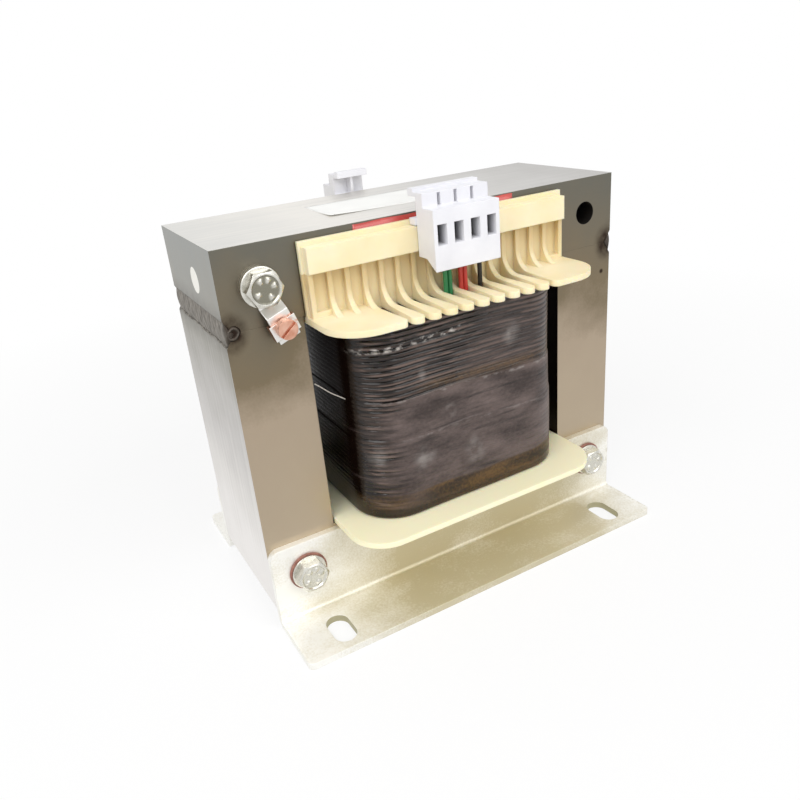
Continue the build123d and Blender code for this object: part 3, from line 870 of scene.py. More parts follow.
@dataclass(frozen=True, kw_only=True)
class VarnishedCoil(Finish):
    """Enamelled wire dipped in baking varnish: dark turns with painted shade in the grooves and a painted
    reflection on the paler crests, smoky films, brown pools, flecks and painted glints.
    """

    # Painted reflection on the crests, going over into painted shade deep in the grooves.
    turns: Stops = ((0.0, "#6c5a52"), (0.08, "#3f312a"), (0.24, "#130a06"), (1.0, "#080302"))
    film: Stops = ((0.36, "#342926"), (0.64, "#675955"))
    stain: Stops = ((0.38, "#24170c"), (0.62, "#604624"))
    # Colour of the wiped clouds and of the painted highlights and glints.
    fleck_and_highlight: str = "#c6c0bb"
    blot: str = "#0d0705"
    streaks: Grain = Grain((13, 13, 1.5), 4.0)
    crest_levels: Pair = (0.4, 0.66)
    crest_sway: Pair = (-0.04, 0.18)
    tear_levels: Pair = (0.74, 0.56)
    tear_rest: float = 0.25
    film_grains: tuple[Grain, Grain] = (Grain((16, 16, 7), 5.0), Grain((1.2, 1.2, 0.8), 3.0))
    film_fine_share: float = 0.22
    stain_grains: tuple[Grain, Grain] = (Grain((18, 18, 4), 4.0), Grain((1, 1, 1), 2.0))
    stain_fine_share: float = 0.35
    blots: Patch = Patch(Grain((15, 15, 6), 4.0), (0.58, 0.72))
    crumbs: Patch = Patch(Grain((2.6, 2.6, 1.5), 5.0), (0.48, 0.64))
    clouds: Patch = Patch(Grain((6, 6, 4), 6.0), (0.4, 0.75), 0.38)
    # x, z and radius of the wiped places on the front, and how far each radius is full and fades.
    wipes: tuple[Point, ...] = ((-18.5, 84.0, 2.0), (-9.5, 68.5, 2.6), (0.0, 51.0, 5.0), (-20.5, 54.5, 4.5),
                                (-36.0, 58.0, 4.0), (16.5, 89.5, 4.0))
    wipe_shares: Pair = (0.2, 1.3)
    wipe_stretch: Point = (1.2, 0.5, 1)
    front: float = -42.6
    lumps: Grain = Grain((2.2, 2.2, 1.1), 4.0)
    specular: float = 0.32
    coat: float = 0.1
    coat_rough: float = 0.12
    rough: Pair = (0.2, 0.46)
    relief: float = 0.12
    edge: float = 0.1

    def make(self) -> Material:
        """Builds the material.

        Returns:
            The finished material.
        """
        work = Surface("enamelled copper wire, varnish dipped and baked")
        groove_shade, film, stain, highlights_and_wipes = (work.add("Attribute", attribute_name=name).outputs["Fac"]
                                      for name in ("groove_shade", "film", "stain", "highlights_and_wipes"))
        # A greyish film and brown pools of varnish, each mottled by a coarse and a fine grain.
        mottled = []
        for grains, fine_share, stops in ((self.film_grains, self.film_fine_share, self.film),
                                          (self.stain_grains, self.stain_fine_share, self.stain)):
            coarse, fine = (work.grain(grain) for grain in grains)
            mottle = work.add("Mix", {0: fine_share, 2: coarse, 3: fine})
            mottled.append(work.add("ValToRGB", {"Fac": mottle}, stops=stops))
        veil, pool = mottled
        streak = work.grain(self.streaks)
        # The painted reflection on the crests is broken up along the turns.
        sway = {"Value": streak, "From Min": self.crest_levels[0], "From Max": self.crest_levels[1],
                "To Min": self.crest_sway[0], "To Max": self.crest_sway[1]}
        shade_dip = work.add("Math", {0: groove_shade, 1: work.add("MapRange", sway)}, operation="ADD")
        turns = work.add("ValToRGB", {"Fac": shade_dip}, stops=self.turns)
        # The film lies over the right and the lower part, torn by long streaks.
        whole = {"Value": streak, "From Min": self.tear_levels[0], "From Max": self.tear_levels[1],
                 "To Min": self.tear_rest}
        cover = work.add("Math", {0: film, 1: work.add("MapRange", whole)}, operation="MULTIPLY")
        # Painted glints lie along the top turns and painted highlights lie along the wrap's edge, broken into
        # flecks; paler clouds lie where the film was wiped.
        highlights_and_wipes = work.add("Math", {0: highlights_and_wipes, 1: work.patches(self.crumbs)}, operation="MULTIPLY")
        clouds = work.patches(self.clouds)
        full, fade = self.wipe_shares
        for x, z, radius in self.wipes:
            wipe = work.spot((x, self.front, z), radius * full, radius * fade, self.wipe_stretch)
            wipe = work.add("Math", {0: wipe, 1: clouds}, operation="MULTIPLY")
            highlights_and_wipes = work.add("Math", {0: highlights_and_wipes, 1: wipe}, operation="MAXIMUM")
        # Blots of thick varnish hide the turns here and there, under film, pools, painted highlights and
        # wiped clouds.
        tone = work.coat(turns, (work.patches(self.blots), self.blot), (cover, veil), (stain, pool),
                         (highlights_and_wipes, self.fleck_and_highlight))
        gloss = {"Specular IOR Level": self.specular, "Coat Weight": self.coat,
                 "Coat Roughness": self.coat_rough}
        return self.close(work, tone, cover, work.grain(self.lumps), gloss)


@dataclass(frozen=True)
class Insulation:
    """Extruded PVC insulation: even colour with a soft sheen."""

    colour: LeadColour
    grain: Grain = Grain((1, 1, 5), 2.0)
    brightness: Pair = (0.75, 1.25)
    saturation: float = 0.95
    rough: float = 0.38

    def make(self) -> Material:
        """Builds the material.

        Returns:
            The finished material.
        """
        work = Surface(f"PVC insulation, extruded, {self.colour.name.lower()}")
        dim, bright = self.brightness
        level = work.add("MapRange", {"Value": work.grain(self.grain), "To Min": dim, "To Max": bright})
        tone = {"Color": self.colour.value, "Saturation": self.saturation, "Value": level}
        return work.shade({"Base Color": work.add("HueSaturation", tone), "Roughness": self.rough})


@dataclass
class Core:
    """The two stacks of plates and the weld seams at the ends of their joint."""

    half_width: float = 75.0
    half_depth: float = 27.0
    joint_level: float = 107.0
    seam_grid: tuple[int, int] = (260, 48)
    seam_half_height: float = 4.0
    seam_wander: Waves = (Wave(0.25, 0.31), Wave(0.15, 0.83, lead=1.0))
    notch_half_height: float = 4.2
    notch_depth: float = 2.8
    notch_gap: float = 0.05
    crown: float = 0.42
    ripple_pitch: float = 2.1
    ripple_height: float = 0.04
    ripple_bow: float = 1.6
    lump_level: float = 0.08
    lumps: Waves = (Wave(0.04, 1.3, 2.0), Wave(0.04, 2.1, -3.0))
    end_taper: float = 1.2
    end_bulge: float = 0.35
    end_drop: float = 0.5
    burn_reach: float = 2.2
    burn_strength: float = 0.8
    burn_least: float = 0.3
    crater_grid: tuple[int, int] = (18, 40)
    crater_radius: float = 2.3
    crater_height: float = 0.45
    crater_wander: Waves = (Wave(0.09, 2.0), Wave(0.03, 5.0, lead=1.0))
    # Shares of the crater's radius: middle and width of its raised ring, then where its rim starts to fall.
    crater_ring: Pair = (0.7, 0.17)
    crater_rim: float = 0.8
    crater_floor: float = 0.2
    crater_lift: float = 0.01
    crater_wear: float = 0.45
    crater_inset: float = 1.13

    def dress(self) -> None:
        """Dresses both stacks."""
        plates = SteelPlates(half_width=self.half_width, half_depth=self.half_depth,
                             joint_level=self.joint_level)
        steel = plates.make()
        dress("core_e_stack", steel)
        dress("core_i_yoke", steel)

    def seam(self, side: Side) -> tuple[Array, Paint]:
        """Weld seam: a closed profile carried along y, flat crown outside and the notch's own V inside.

        The crown falls by the square of the height from its middle, bowed ripples and slow lumps score it,
        and both ends round off.

        Args:
            side: End of the core.

        Returns:
            Points of shape (rows, columns, 3) in millimetres, and how burnt each is.
        """
        rows, columns = self.seam_grid
        half_run = self.half_depth + self.end_bulge
        along = np.linspace(-half_run, half_run, rows)[:, None]
        angle = round_angles(columns)
        share = np.sin(angle)
        edge = np.clip((half_run - np.abs(along)) / self.end_taper, 0, 1)
        taper = np.sqrt(edge * (2 - edge))
        limit = self.notch_half_height - self.notch_gap
        tall = (self.seam_half_height + waves(self.seam_wander, along) * np.sign(share)) * share
        tall = np.clip(tall, -limit, limit) * taper
        bowed = along + self.ripple_bow * share ** 2
        ripple = self.ripple_height * (0.5 + 0.5 * np.cos(FULL_TURN * bowed / self.ripple_pitch))
        lumps = self.lump_level + waves(self.lumps, along, share)
        front = self.crown * share ** 2 + ripple + lumps + self.end_drop * (1 - taper)
        back = self.notch_depth * (1 - np.abs(tall) / self.notch_half_height) - self.notch_gap
        depth = np.maximum(np.where(np.cos(angle) > 0, np.minimum(front, back), back), 0)
        x = side.value * (self.half_width - depth)
        burn = self.burn_strength * smooth_step(np.abs(along), half_run - self.burn_reach, half_run)
        burn = burn * (self.burn_least + (1 - self.burn_least) * np.abs(share))
        return np.stack([x, along + 0 * angle, self.joint_level + tall], axis=-1), {"recess": burn}

    def crater(self) -> tuple[Array, Paint]:
        """Weld crater: rings about y at the left seam's front end, a raised bell round a sunk middle.

        Returns:
            Points of shape (rows, columns, 3) in millimetres, and how deep each lies in the crater.
        """
        rows, columns = self.crater_grid
        angle = round_angles(columns)
        share = np.linspace(0, 1, rows)[:, None] + 0 * angle
        radius = self.crater_radius * share * (1 + waves(self.crater_wander, angle))
        ring = bell(share, *self.crater_ring)
        out = self.crater_height * (self.crater_floor + (1 - self.crater_floor) * ring)
        out = out * (1 - smooth_step(share, self.crater_rim, 1.0))
        radius = np.concatenate([radius, 0 * angle])
        out = np.concatenate([out, 0 * angle]) + self.crater_lift
        recess = np.concatenate([1 - self.crater_wear * ring, 0 * angle])
        centre = (self.crater_radius * self.crater_inset - self.half_width, self.joint_level)
        return turned(radius, out, angle, centre, -self.half_depth, -1), {"recess": recess}

    def build(self) -> None:
        """Builds the seams and the crater."""
        weld = WELD.make()
        for side in Side:
            name = side.name.lower()
            points, paint = self.seam(side)
            piece = make_piece(f"weld_seam_{name}", points, False, True, paint=paint)
            finish_piece(piece, weld, "weld_steel", f"weld_bead_{name}")
        points, paint = self.crater()
        piece = make_piece("weld_crater", points, False, True, paint=paint)
        finish_piece(piece, weld, "weld_steel")


@dataclass
class Winding:
    """The coil: fine half-round turns, a thicker wrap round the lower part and a smooth foot of varnish."""

    rows: int = 420
    loop_steps: tuple[int, int] = (20, 30)
    corner_radius: float = 16.0
    bore_half: Pair = (27.2, 29.2)
    bore_radius: float = 0.6
    pitch: float = 1.7
    turn_depth: float = 0.55
    turn_waves: Waves = (Wave(0.16, 3, 0.05), Wave(0.08, 8, 0.21))
    # How far film, foot, sole and sides fill the turns.
    turn_fills: tuple[float, ...] = (0.75, 0.7, 0.9, 0.93)
    side_start: float = 0.7
    wrap_step: float = 0.45
    second_step: float = 0.25
    second_drop: float = 14.0
    second_waves: Waves = (Wave(0.5, 7),)
    step_half: float = 0.25
    line_level: float = 76.9
    line_rise: float = -0.7
    line_waves: Waves = (Wave(0.3, 5), Wave(0.15, 11))
    # The film starts at one x on the bare turns, which moves with the level, and at another on the wrap.
    film_starts: Pair = (-12.0, -39.0)
    film_slope: float = 0.5
    film_waves: Waves = (Wave(2.5, 0.35), Wave(2.0, 1.1, lead=1.0), Wave(1.5, 2.9))
    film_width: float = 12.0
    film_cover: float = 0.94
    film_thinning: float = 0.58
    film_worn: float = 0.7
    foot_height: float = 8.5
    sole_height: float = 3.2
    foot_waves: Waves = (Wave(0.5, 4), Wave(0.25, 13))
    foot_half: float = 0.6
    fold_level: float = 0.16
    fold_waves: Waves = (Wave(0.1, 2, 0.13), Wave(0.06, 9, -0.09))
    lip: float = 1.2
    right_ends: Pair = (-24.0, -14.0)
    band_strength: float = 0.8
    band_rise: float = 2.0
    band_width: float = 1.7
    # Strength of the foot's stain, what the right adds to it and what the sole takes away.
    foot_stain: Point = (0.45, 0.5, 0.5)
    # Darkening of the sole, and painted shade over the left side.
    sole_groove: float = 0.35
    left_side_shade: float = 0.3
    # Strengths of the painted highlights along the two steps of the wrap, and what they show without a film.
    highlight_rims: Pair = (0.22, 0.08)
    highlight_rim_size: float = 0.5
    highlight_rim_least: float = 0.3
    glint: float = 2.0
    glint_level: float = 96.2
    glint_rise: float = 0.04
    glint_size: float = 0.7
    glint_ends: Pair = (-41.0, -4.0)
    sharp: float = 70.0

    def surface(self) -> tuple[Array, Paint]:
        """Coil: a rounded loop carried up in z and pushed in by the turns, the wrap's steps and a round lip.

        A turn's push is its depth times how far a half circle over the pitch falls short of its top; the
        turns climb one pitch in a lap. Each step eases over half a millimetre along a line that falls to the
        right and wavers. The film covers what lies right of a wavering line; turns are shallow under it, at
        the sides and in the foot.

        Returns:
            Points of shape (rows, columns, 3) in millimetres, and the groove, film, stain and bloom at each.
        """
        low, high = box_mm("winding")
        half = (high[:2] - low[:2]) / 2
        loop, normal = rounded_loop((half[0], half[1]), self.corner_radius, *self.loop_steps)
        bore, _ = rounded_loop(self.bore_half, self.bore_radius, *self.loop_steps)
        lap = np.linspace(0, 1, len(loop), endpoint=False)[None, :]
        swing = FULL_TURN * lap
        level = np.linspace(low[2], high[2], self.rows)[:, None]
        across = loop[None, :, 0]
        # Zones of the coil.
        line = self.line_level + self.line_rise * across / half[0] + waves(self.line_waves, swing)
        second_line = line - self.second_drop
        bare = smooth_step(level - line, -self.step_half, self.step_half)
        second = level - second_line + waves(self.second_waves, swing)
        second = smooth_step(second, -self.step_half, self.step_half)
        bare_start, wrap_start = self.film_starts
        start = bare * (self.film_slope * (level - self.line_level) + bare_start) + wrap_start * (1 - bare)
        start = start + waves(self.film_waves, level)
        film = smooth_step(across - start, 0, self.film_width) * (self.film_cover - self.film_thinning * bare)
        side = smooth_step(np.abs(normal[None, :, 0]), self.side_start, 1)
        right = smooth_step(across, *self.right_ends)
        sole_edge = low[2] + self.sole_height + waves(self.foot_waves, swing)
        foot_edge = sole_edge + self.foot_height - self.sole_height
        foot = smooth_step(foot_edge - level, -self.foot_half, self.foot_half)
        sole = smooth_step(sole_edge - level, -self.foot_half, self.foot_half)
        # Push of the turns, the steps, the folds of the varnish and the lip.
        phase = ((level - high[2]) / self.pitch + lap + waves(self.turn_waves, swing, level)) % 1.0
        fall = 1 - np.sqrt(np.clip(1 - (2 * phase - 1) ** 2, 0, 1))
        depth = self.turn_depth
        for fill, zone in zip(self.turn_fills, (film, foot, sole, side)):
            depth = depth * (1 - fill * zone)
        short = np.clip((low[2] + self.lip - level) / self.lip, 0, 1)
        push = depth * fall + self.wrap_step * bare + self.second_step * second * (1 - bare)
        push = push + self.fold_level + waves(self.fold_waves, swing, level)
        push = push + self.lip * (1 - np.sqrt(1 - short ** 2))
        outer = loop[None] - normal[None] * push[..., None]
        skin = np.concatenate([outer, np.broadcast_to(level[..., None], (*outer.shape[:2], 1))], axis=-1)
        ends = [np.column_stack([bore, np.full(len(bore), z)])[None] for z in (low[2], high[2])]
        # Paint for the varnish: painted shade in the grooves between turns and over the left side, a darker
        # sole, brown stains, painted highlights along the wrap's steps and painted glints on the top turns.
        groove_shade = np.maximum(self.sole_groove * sole, self.left_side_shade * side * (across < 0))
        band = self.band_strength * right * bell(level, line + self.band_rise, self.band_width)
        plain, extra, loss = self.foot_stain
        stain = np.maximum(foot * (1 - loss * sole) * (plain + extra * right), band)
        rim = sum(strength * bell(level, edge - self.highlight_rim_size, self.highlight_rim_size)
                  for strength, edge in zip(self.highlight_rims, (line, second_line)))
        # Painted glints along the top turns.
        first, last = self.glint_ends
        glint = bell(level, self.glint_level + self.glint_rise * across, self.glint_size)
        glint = self.glint * glint * (across > first) * (across < last)
        paint = {"groove_shade": np.maximum(fall * depth / self.turn_depth, groove_shade),
                 "film": film * (1 - self.film_worn * sole), "stain": stain,
                 "highlights_and_wipes": np.clip(rim * (self.highlight_rim_least + film) + glint, 0, 1) * (1 - side)}
        paint = {name: np.pad(values, ((1, 1), (0, 0))) for name, values in paint.items()}
        return np.concatenate([ends[0], skin, ends[1]], axis=0), paint

    def build(self) -> None:
        """Builds the coil."""
        points, paint = self.surface()
        piece = make_piece("winding_turns", points, True, True, self.sharp, paint)
        finish_piece(piece, VarnishedCoil().make(), "winding_varnish", "winding")


@dataclass
class Fasteners:
    """Hex bolts with raised marks and threaded tails, their washers and nuts."""

    columns: int = 72
    disc_rows: int = 26
    cone_rows: int = 4
    thread_rows: int = 10
    ring_rows: int = 28
    across_flats: float = 10.0
    head_height: float = 4.0
    head_foot: float = 0.15
    rim_share: float = 0.475
    chamfer_angle: float = 30.0
    neck: float = 1.0
    shank_radius: float = 3.0
    thread_pitch: float = 1.0
    thread_depth: float = 0.55
    thread_length: float = 5.0
    tail_chamfer: float = 0.4
    tail_share: float = 0.75
    mark_height: float = 0.4
    mark_places: tuple[float, ...] = (15.0, 68.0, 118.0, 208.0, 300.0)
    mark_ring: float = 0.62
    mark_half: Pair = (0.85, 0.7)
    dish_depth: float = 0.5
    dish_radius: float = 4.4
    dish_wall: float = 0.5
    bore_chamfer: float = 0.5
    washer_radii: Pair = (3.2, 6.2)
    washer_powers: Pair = (0.25, 0.5)
    pack_thickness: float = 1.6
    steel_thickness: float = 0.7
    fibre_growth: float = 0.6
    sharp_hexagon: float = 25.0
    sharp_washer: float = 50.0

    def marks(self, radius: Array, angle: Array) -> Array:
        """Raised generic marks on a head: five round bumps on a ring, each a flat-topped bell over its place.

        Args:
            radius: Radii on the head.
            angle: Angles on the head.

        Returns:
            Heights in millimetres.
        """
        gap = (angle[..., None] - np.radians(self.mark_places) + math.pi) % FULL_TURN - math.pi
        ring = self.mark_ring * self.dish_radius
        outward, round_it = self.mark_half
        bumps = np.exp(-(((radius[..., None] - ring) / outward) ** 4) - (gap * ring / round_it) ** 4)
        return self.mark_height * bumps.max(axis=-1)

    def bolt(self, place: BoltPlace) -> tuple[Array, Paint]:
        """Bolt: circles out from the head's middle, a cone cut by the hexagon, its flats, shank and thread.

        The cone falls by the tangent of the chamfer's angle; the thread is a cosine that winds once a pitch.

        Args:
            place: Bolted corner.

        Returns:
            Points of shape (rows, columns, 3) in millimetres, and how deep each lies in the dished head.
        """
        low, high = box_mm(f"bolt_{place.value}")
        seat = low[1] + self.head_height
        end = seat - high[1]
        angle = round_angles(self.columns)
        flats = hexagon(angle, self.across_flats)
        rim = self.across_flats * self.rim_share
        disc = np.linspace(0, rim, self.disc_rows)[:, None] + 0 * angle
        dish = smooth_step(self.dish_radius - disc, 0, self.dish_wall)
        marks = self.marks(disc, angle + 0 * disc)
        top = self.head_height - self.dish_depth * dish + marks
        cone = rim + np.linspace(0, 1, self.cone_rows)[1:, None] * (flats - rim)
        cone_out = self.head_height - (cone - rim) * math.tan(math.radians(self.chamfer_angle))
        side_out = np.array([[self.head_foot], [0.0]]) + 0 * angle
        thread_start = end + self.thread_length
        shank = np.full((3, 1), self.shank_radius) + 0 * angle
        shank_out = np.array([[0.0], [-self.neck], [thread_start]]) + 0 * angle
        rows = int(self.thread_length / self.thread_pitch * self.thread_rows)
        wind_out = np.linspace(thread_start, end + self.tail_chamfer, rows)[:, None] + 0 * angle
        wave = 0.5 + 0.5 * np.cos(FULL_TURN * wind_out / self.thread_pitch - angle)
        wind = self.shank_radius - self.thread_depth * wave
        tail = np.array([[self.tail_share], [0.0]]) * self.shank_radius + 0 * angle
        tail_out = np.full((2, 1), end) + 0 * angle
        radius = np.concatenate([disc, cone, flats + 0 * side_out, shank, wind, tail])
        out = np.concatenate([top, cone_out, side_out, shank_out, wind_out, tail_out])
        recess = np.pad(dish * (1 - marks / self.mark_height), ((0, len(radius) - len(disc)), (0, 0)))
        return turned(radius, out, angle, axis_centre(low, high), seat, -1), {"recess": recess}

    def nut(self, place: BoltPlace) -> Array:
        """Nut: a hexagon between two cones, closed through a bore, all rows of one closed profile.

        Args:
            place: Bolted corner.

        Returns:
            Points of shape (rows, columns, 3) in millimetres.
        """
        low, high = box_mm(f"nut_{place.value}")
        tall = high[1] - low[1]
        angle = round_angles(self.columns)
        flats = hexagon(angle, self.across_flats)
        rim = self.across_flats * self.rim_share + 0 * angle
        bore = self.washer_radii[0] + 0 * angle
        mouth = bore + self.bore_chamfer
        drop = (flats - rim) * math.tan(math.radians(self.chamfer_angle))
        half_out = np.concatenate([self.bore_chamfer + 0 * angle, 0 * angle, 0 * angle, drop])
        radius = np.concatenate([bore, mouth, rim, flats, flats, rim, mouth, bore])
        out = np.concatenate([half_out, tall - half_out[::-1]])
        return turned(radius, out, angle, axis_centre(low, high), low[1], 1)

    def washer(self, centre: Pair, seat: float, thickness: float, outer: float) -> Array:
        """Washer: a flat ring whose cross-section is a squared-off oval, its corners rounded by stamping.

        Args:
            centre: x and z of the axis.
            seat: y of the face it lies on.
            thickness: Thickness in millimetres.
            outer: Outer radius in millimetres.

        Returns:
            Points of shape (rows, columns, 3) in millimetres.
        """
        angle = round_angles(self.columns)
        swing = round_angles(self.ring_rows).T
        across, up = (np.sign(part) * np.abs(part) ** power
                      for part, power in zip((np.cos(swing), np.sin(swing)), self.washer_powers))
        inner = self.washer_radii[0]
        radius = (outer + inner) / 2 + across * (outer - inner) / 2 + 0 * angle
        return turned(radius, thickness / 2 * (1 + up) + 0 * angle, angle, centre, seat, -1)

    def build(self) -> None:
        """Builds all fasteners."""
        zinc, worn = ZINC_BRIGHT.make(), ZINC_WORN.make()
        steel, fibre = [], []
        for place in BoltPlace:
            points, paint = self.bolt(place)
            piece = make_piece(f"hex_bolt_{place.value}", points, False, True, self.sharp_hexagon, paint)
            plating = worn if place is BoltPlace.EARTH else zinc
            finish_piece(piece, plating, "fastener_zinc", f"bolt_{place.value}")
            piece = make_piece(f"hex_nut_{place.value}", self.nut(place), True, True, self.sharp_hexagon)
            finish_piece(piece, zinc, "fastener_zinc", f"nut_{place.value}")
            low, high = box_mm(f"bolt_{place.value}")
            centre = axis_centre(low, high)
            seat = low[1] + self.head_height
            thick = self.pack_thickness if place is BoltPlace.EARTH else self.steel_thickness
            steel.append(self.washer(centre, seat + thick, thick, self.washer_radii[1]))
            if place is not BoltPlace.EARTH:
                outer = self.washer_radii[1] + self.fibre_growth
                rest = self.pack_thickness - thick
                fibre.append(self.washer(centre, seat + self.pack_thickness, rest, outer))
        piece = make_piece("flat_washers", np.stack(steel), True, True, self.sharp_washer)
        finish_piece(piece, zinc, "fastener_zinc", "bolt_washers")
        piece = make_piece("fibre_washers", np.stack(fibre), True, True, self.sharp_washer)
        finish_piece(piece, FIBRE.make(), "fastener_zinc")


@dataclass
class Marks:
    """Small flat things on the core: a bare label, a strip of tape and a loose thread."""

    label_grid: tuple[int, int] = (16, 30)
    label_corners: tuple[Pair, ...] = ((-30.4, -11.6), (13.2, -13.2), (13.8, 12.2), (-29.2, 12.2))
    label_level: float = 132.03
    label_curl: float = 0.5
    tape_grid: tuple[int, int] = (4, 60)
    tape_ends: Pair = (-30.3, 30.0)
    tape_levels: Pair = (124.0, 131.58)
    tape_waves: Waves = (Wave(0.12, 0.4),)
    tape_y: float = -27.05
    sheet_thickness: float = 0.1
    thread_grid: tuple[int, int] = (60, 10)
    thread_ends: tuple[Point, Point] = ((-49.8, -27.3, 84.8), (-41.2, -30.6, 77.9))
    thread_sag: float = 0.3
    thread_sway: Point = (0.05, -0.05, 0.05)
    thread_swings: float = 9.0
    thread_radius: float = 0.17
    thread_twist: Waves = (Wave(0.2, 2, 60),)
    thread_point: float = 40.0

    def label(self) -> Array:
        """Label: four corners blended across the grid, one lifted by the fourth power of its share.

        Returns:
            Points of shape (rows, columns, 3) in millimetres.
        """
        rows, columns = self.label_grid
        a, b = np.meshgrid(np.linspace(0, 1, columns), np.linspace(0, 1, rows))
        shares = ((1 - a) * (1 - b), a * (1 - b), a * b, (1 - a) * b)
        flat = sum(share[..., None] * np.array(corner) for share, corner in zip(shares, self.label_corners))
        lift = self.label_level + self.label_curl * shares[0] ** 4
        return np.concatenate([flat, lift[..., None]], axis=-1)

    def tape(self) -> Array:
        """Tape: a flat strip in x and z, its upper edge wavering by a sine.

        Returns:
            Points of shape (rows, columns, 3) in millimetres.
        """
        rows, columns = self.tape_grid
        bottom, top = self.tape_levels
        x = np.linspace(*self.tape_ends, columns)[None, :]
        z = bottom + np.linspace(0, 1, rows)[:, None] * (top - waves(self.tape_waves, x) - bottom)
        return np.stack([x + 0 * z, np.full_like(z, self.tape_y), z], axis=-1)

    def thread(self) -> Array:
        """Thread: a round carried along a sagging parabola between two ends, necked by its twist.

        Returns:
            Points of shape (rows, columns, 3) in millimetres.
        """
        rows, columns = self.thread_grid
        start, end = (np.array(p) for p in self.thread_ends)
        t = np.linspace(0, 1, rows)[:, None]
        path = start + t * (end - start) - np.array((0, 0, 4 * self.thread_sag)) * t * (1 - t)
        path = path + np.array(self.thread_sway) * np.sin(self.thread_swings * t)
        angle = round_angles(columns)
        ahead = np.gradient(path, axis=0)
        ahead = ahead / np.linalg.norm(ahead, axis=1, keepdims=True)
        right = np.cross(ahead, (0.0, 1.0, 0.0))
        right = right / np.linalg.norm(right, axis=1, keepdims=True)
        up = np.cross(right, ahead)
        tips = np.minimum(1, self.thread_point * np.minimum(t, 1 - t))
        radius = self.thread_radius * (1 + waves(self.thread_twist, angle, t)) * tips
        ring = right[:, None] * np.cos(angle)[..., None] + up[:, None] * np.sin(angle)[..., None]
        return path[:, None] + radius[..., None] * ring

    def sheet(self, name: str, points: Array, finish: PlainFinish, slot: str) -> None:
        """Builds a thin sheet.

        Args:
            name: Name of the piece.
            points: Grid of points in millimetres.
            finish: Its finish.
            slot: Material slot of the record.
        """
        piece = make_piece(name, points, False, False)
        thick = piece.modifiers.new("sheet thickness", "SOLIDIFY")
        thick.thickness = self.sheet_thickness * MM
        thick.offset = 0.0
        finish_piece(piece, finish.make(), slot)

    def build(self) -> None:
        """Builds the label, the tape and the thread."""
        self.sheet("bare_label", self.label(), PAPER, "core_steel")
        self.sheet("core_tape", self.tape(), TAPE, "core_steel")
        piece = make_piece("lacing_thread", self.thread(), False, True)
        finish_piece(piece, THREAD.make(), "winding_varnish")


@dataclass
class CoilFormer:
    """The moulded former with its comb of curved fins."""

    edge: float = 0.3

    def dress(self) -> None:
        """Dresses the former."""
        dress("coil_former", FormerPlastic().make(), self.edge)


@dataclass
class Feet:
    """The two angle feet."""

    edge: float = 0.35

    def dress(self) -> None:
        """Dresses both feet."""
        zinc = ZincSheet().make()
        dress("foot_bracket_front", zinc, self.edge)
        dress("foot_bracket_rear", zinc, self.edge)


@dataclass
class EarthTerminal:
    """The tab under the upper left bolt, its saddle and its screw."""

    edge: float = 0.15

    def dress(self) -> None:
        """Dresses tab, saddle and screw."""
        dress("earth_tab", TINNED.make(), self.edge)
        dress("earth_clamp", FlashedSaddle().make(), self.edge)
        dress("earth_screw", COPPERED.make(), self.edge)


@dataclass
class TerminalBlocks:
    """The clip-on blocks with their clamp plates, and the leads below them."""

    edge: float = 0.3
    side_wall: float = 1.0

    def dress(self) -> None:
        """Dresses blocks, clamp plates and leads."""
        # Painted shade: the clamp plates deep in the entries are dark.
        clamp = CLAMP_SHADE.make()
        for end in ("front", "rear"):
            low, high = box_mm(f"terminal_block_{end}")
            half_run = (high[0] - low[0]) / 2 - self.side_wall
            plastic = BlockPlastic(centre=(low[0] + high[0]) / 2, half_run=half_run)
            dress(f"terminal_block_{end}", plastic.make(), self.edge)
            dress(f"clamp_plates_{end}", clamp)
        black = Insulation(LeadColour.BLACK).make()
        dress("leads_green", Insulation(LeadColour.GREEN).make())
        dress("leads_red", Insulation(LeadColour.RED).make())
        dress("lead_black", black)
        dress("leads_rear", black)


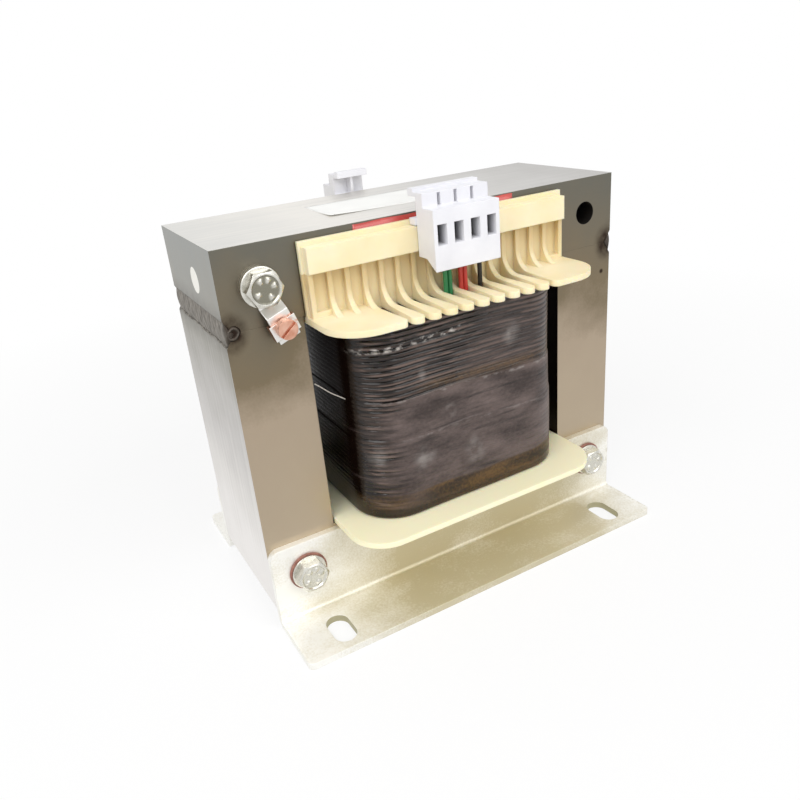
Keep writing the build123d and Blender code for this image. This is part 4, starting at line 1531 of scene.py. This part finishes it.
@dataclass
class Studio:
    """White floor, soft lamps and the camera at the photograph's place."""

    white: str = "#ffffff"
    card: str = "#f2f2f2"
    card_rough: float = 0.8
    floor_half: float = 4000.0
    ambient: float = 0.56
    whitening: Pair = (0.8, 1.0)
    whitening_reach: Pair = (160.0, 420.0)
    lens: float = 33.58
    camera_place: Point = (-127.65, -232.85, 175.66)
    camera_aim: Point = (-0.79, 8.94, 51.38)
    camera_roll: float = -5.38
    lamp_aim: Point = (0.0, 0.0, 60.0)
    key_place: Point = (-420.0, -260.0, 640.0)
    key_size: float = 500.0
    key_power: float = 2.7
    fill_place: Point = (240.0, -640.0, 560.0)
    fill_size: float = 600.0
    fill_power: float = 2.6

    def seen(self, work: Graph) -> Node:
        """Gives one for rays from the camera, from gloss or through glass, and zero for light on the object.

        Args:
            work: Node tree of the floor or the world.

        Returns:
            Mask from zero to one.
        """
        path = work.add("LightPath").outputs
        some = work.add("Math", {0: path["Is Camera Ray"], 1: path["Is Glossy Ray"]}, operation="MAXIMUM")
        return work.add("Math", {0: some, 1: path["Is Transmission Ray"]}, operation="MAXIMUM")

    def floor(self) -> None:
        """Lays the floor: white card that keeps a soft shadow near the object and whitens away from it."""
        size = self.floor_half * MM
        corners = [(-size, -size, 0), (size, -size, 0), (size, size, 0), (-size, size, 0)]
        mesh = bpy.data.meshes.new("floor")
        mesh.from_pydata(corners, [], [(0, 1, 2, 3)])
        plane = bpy.data.objects.new("floor", mesh)
        bpy.context.scene.collection.objects.link(plane)
        work = Surface("white card, matt")
        work.shade({"Base Color": self.card, "Roughness": self.card_rough})
        far = work.add("VectorMath", {0: work.place}, operation="LENGTH")
        near_reach, far_reach = self.whitening_reach
        share = {"Value": far, "From Min": near_reach * MM, "From Max": far_reach * MM,
                 "To Min": self.whitening[0], "To Max": self.whitening[1]}
        share = work.add("Math", {0: self.seen(work), 1: work.add("MapRange", share)}, operation="MULTIPLY")
        white = work.add("Emission", {"Color": self.white, "Strength": 1.0})
        mixed = work.add("MixShader", {0: share, 1: work.shader, 2: white})
        work.feed(work.output.inputs["Surface"], mixed)
        mesh.materials.append(work.material)

    def world(self) -> None:
        """Sets a world that looks white and lights the object at the ambient level."""
        scene = bpy.context.scene
        scene.world = scene.world or bpy.data.worlds.new("studio")
        scene.world.use_nodes = True
        work = Graph(scene.world.node_tree)
        level = work.add("MapRange", {"Value": self.seen(work), "To Min": self.ambient, "To Max": 1.0})
        sky = work.add("Background", {"Color": self.white, "Strength": level})
        work.add("OutputWorld", {"Surface": sky})

    def lamp(self, name: str, place: Point, size: float, power: float) -> None:
        """Hangs a square soft lamp that faces the object.

        Args:
            name: Name of the lamp.
            place: Its place in millimetres.
            size: Its side in millimetres.
            power: Its power in watts.
        """
        light = bpy.data.lights.new(name, "AREA")
        light.size = size * MM
        light.energy = power
        lamp = bpy.data.objects.new(name, light)
        lamp.location = Vector(place) * MM
        lamp.rotation_euler = (Vector(self.lamp_aim) - Vector(place)).to_track_quat("-Z", "Y").to_euler()
        bpy.context.scene.collection.objects.link(lamp)

    def camera(self) -> None:
        """Sets the camera where the photograph was taken from."""
        view = bpy.data.cameras.new("photo_camera")
        view.lens = self.lens
        view.clip_start = MM
        camera = bpy.data.objects.new("photo_camera", view)
        camera.location = Vector(self.camera_place) * MM
        ahead = (Vector(self.camera_aim) - Vector(self.camera_place)).to_track_quat("-Z", "Y")
        camera.rotation_euler = (ahead @ Quaternion((0, 0, 1), math.radians(self.camera_roll))).to_euler()
        bpy.context.scene.collection.objects.link(camera)
        bpy.context.scene.camera = camera

    def build(self) -> None:
        """Builds the studio."""
        bpy.context.scene.view_settings.view_transform = "Standard"
        self.floor()
        self.world()
        self.lamp("key_lamp", self.key_place, self.key_size, self.key_power)
        self.lamp("fill_lamp", self.fill_place, self.fill_size, self.fill_power)
        self.camera()
        LOG.info("studio ready")


def main() -> None:
    logging.basicConfig(level=logging.INFO, format="%(message)s")
    core = Core()
    core.dress()
    core.build()
    for part in (CoilFormer(), Feet(), EarthTerminal(), TerminalBlocks()):
        part.dress()
    Winding().build()
    Fasteners().build()
    Marks().build()
    Studio().build()


if __name__ == "__main__":
    main()
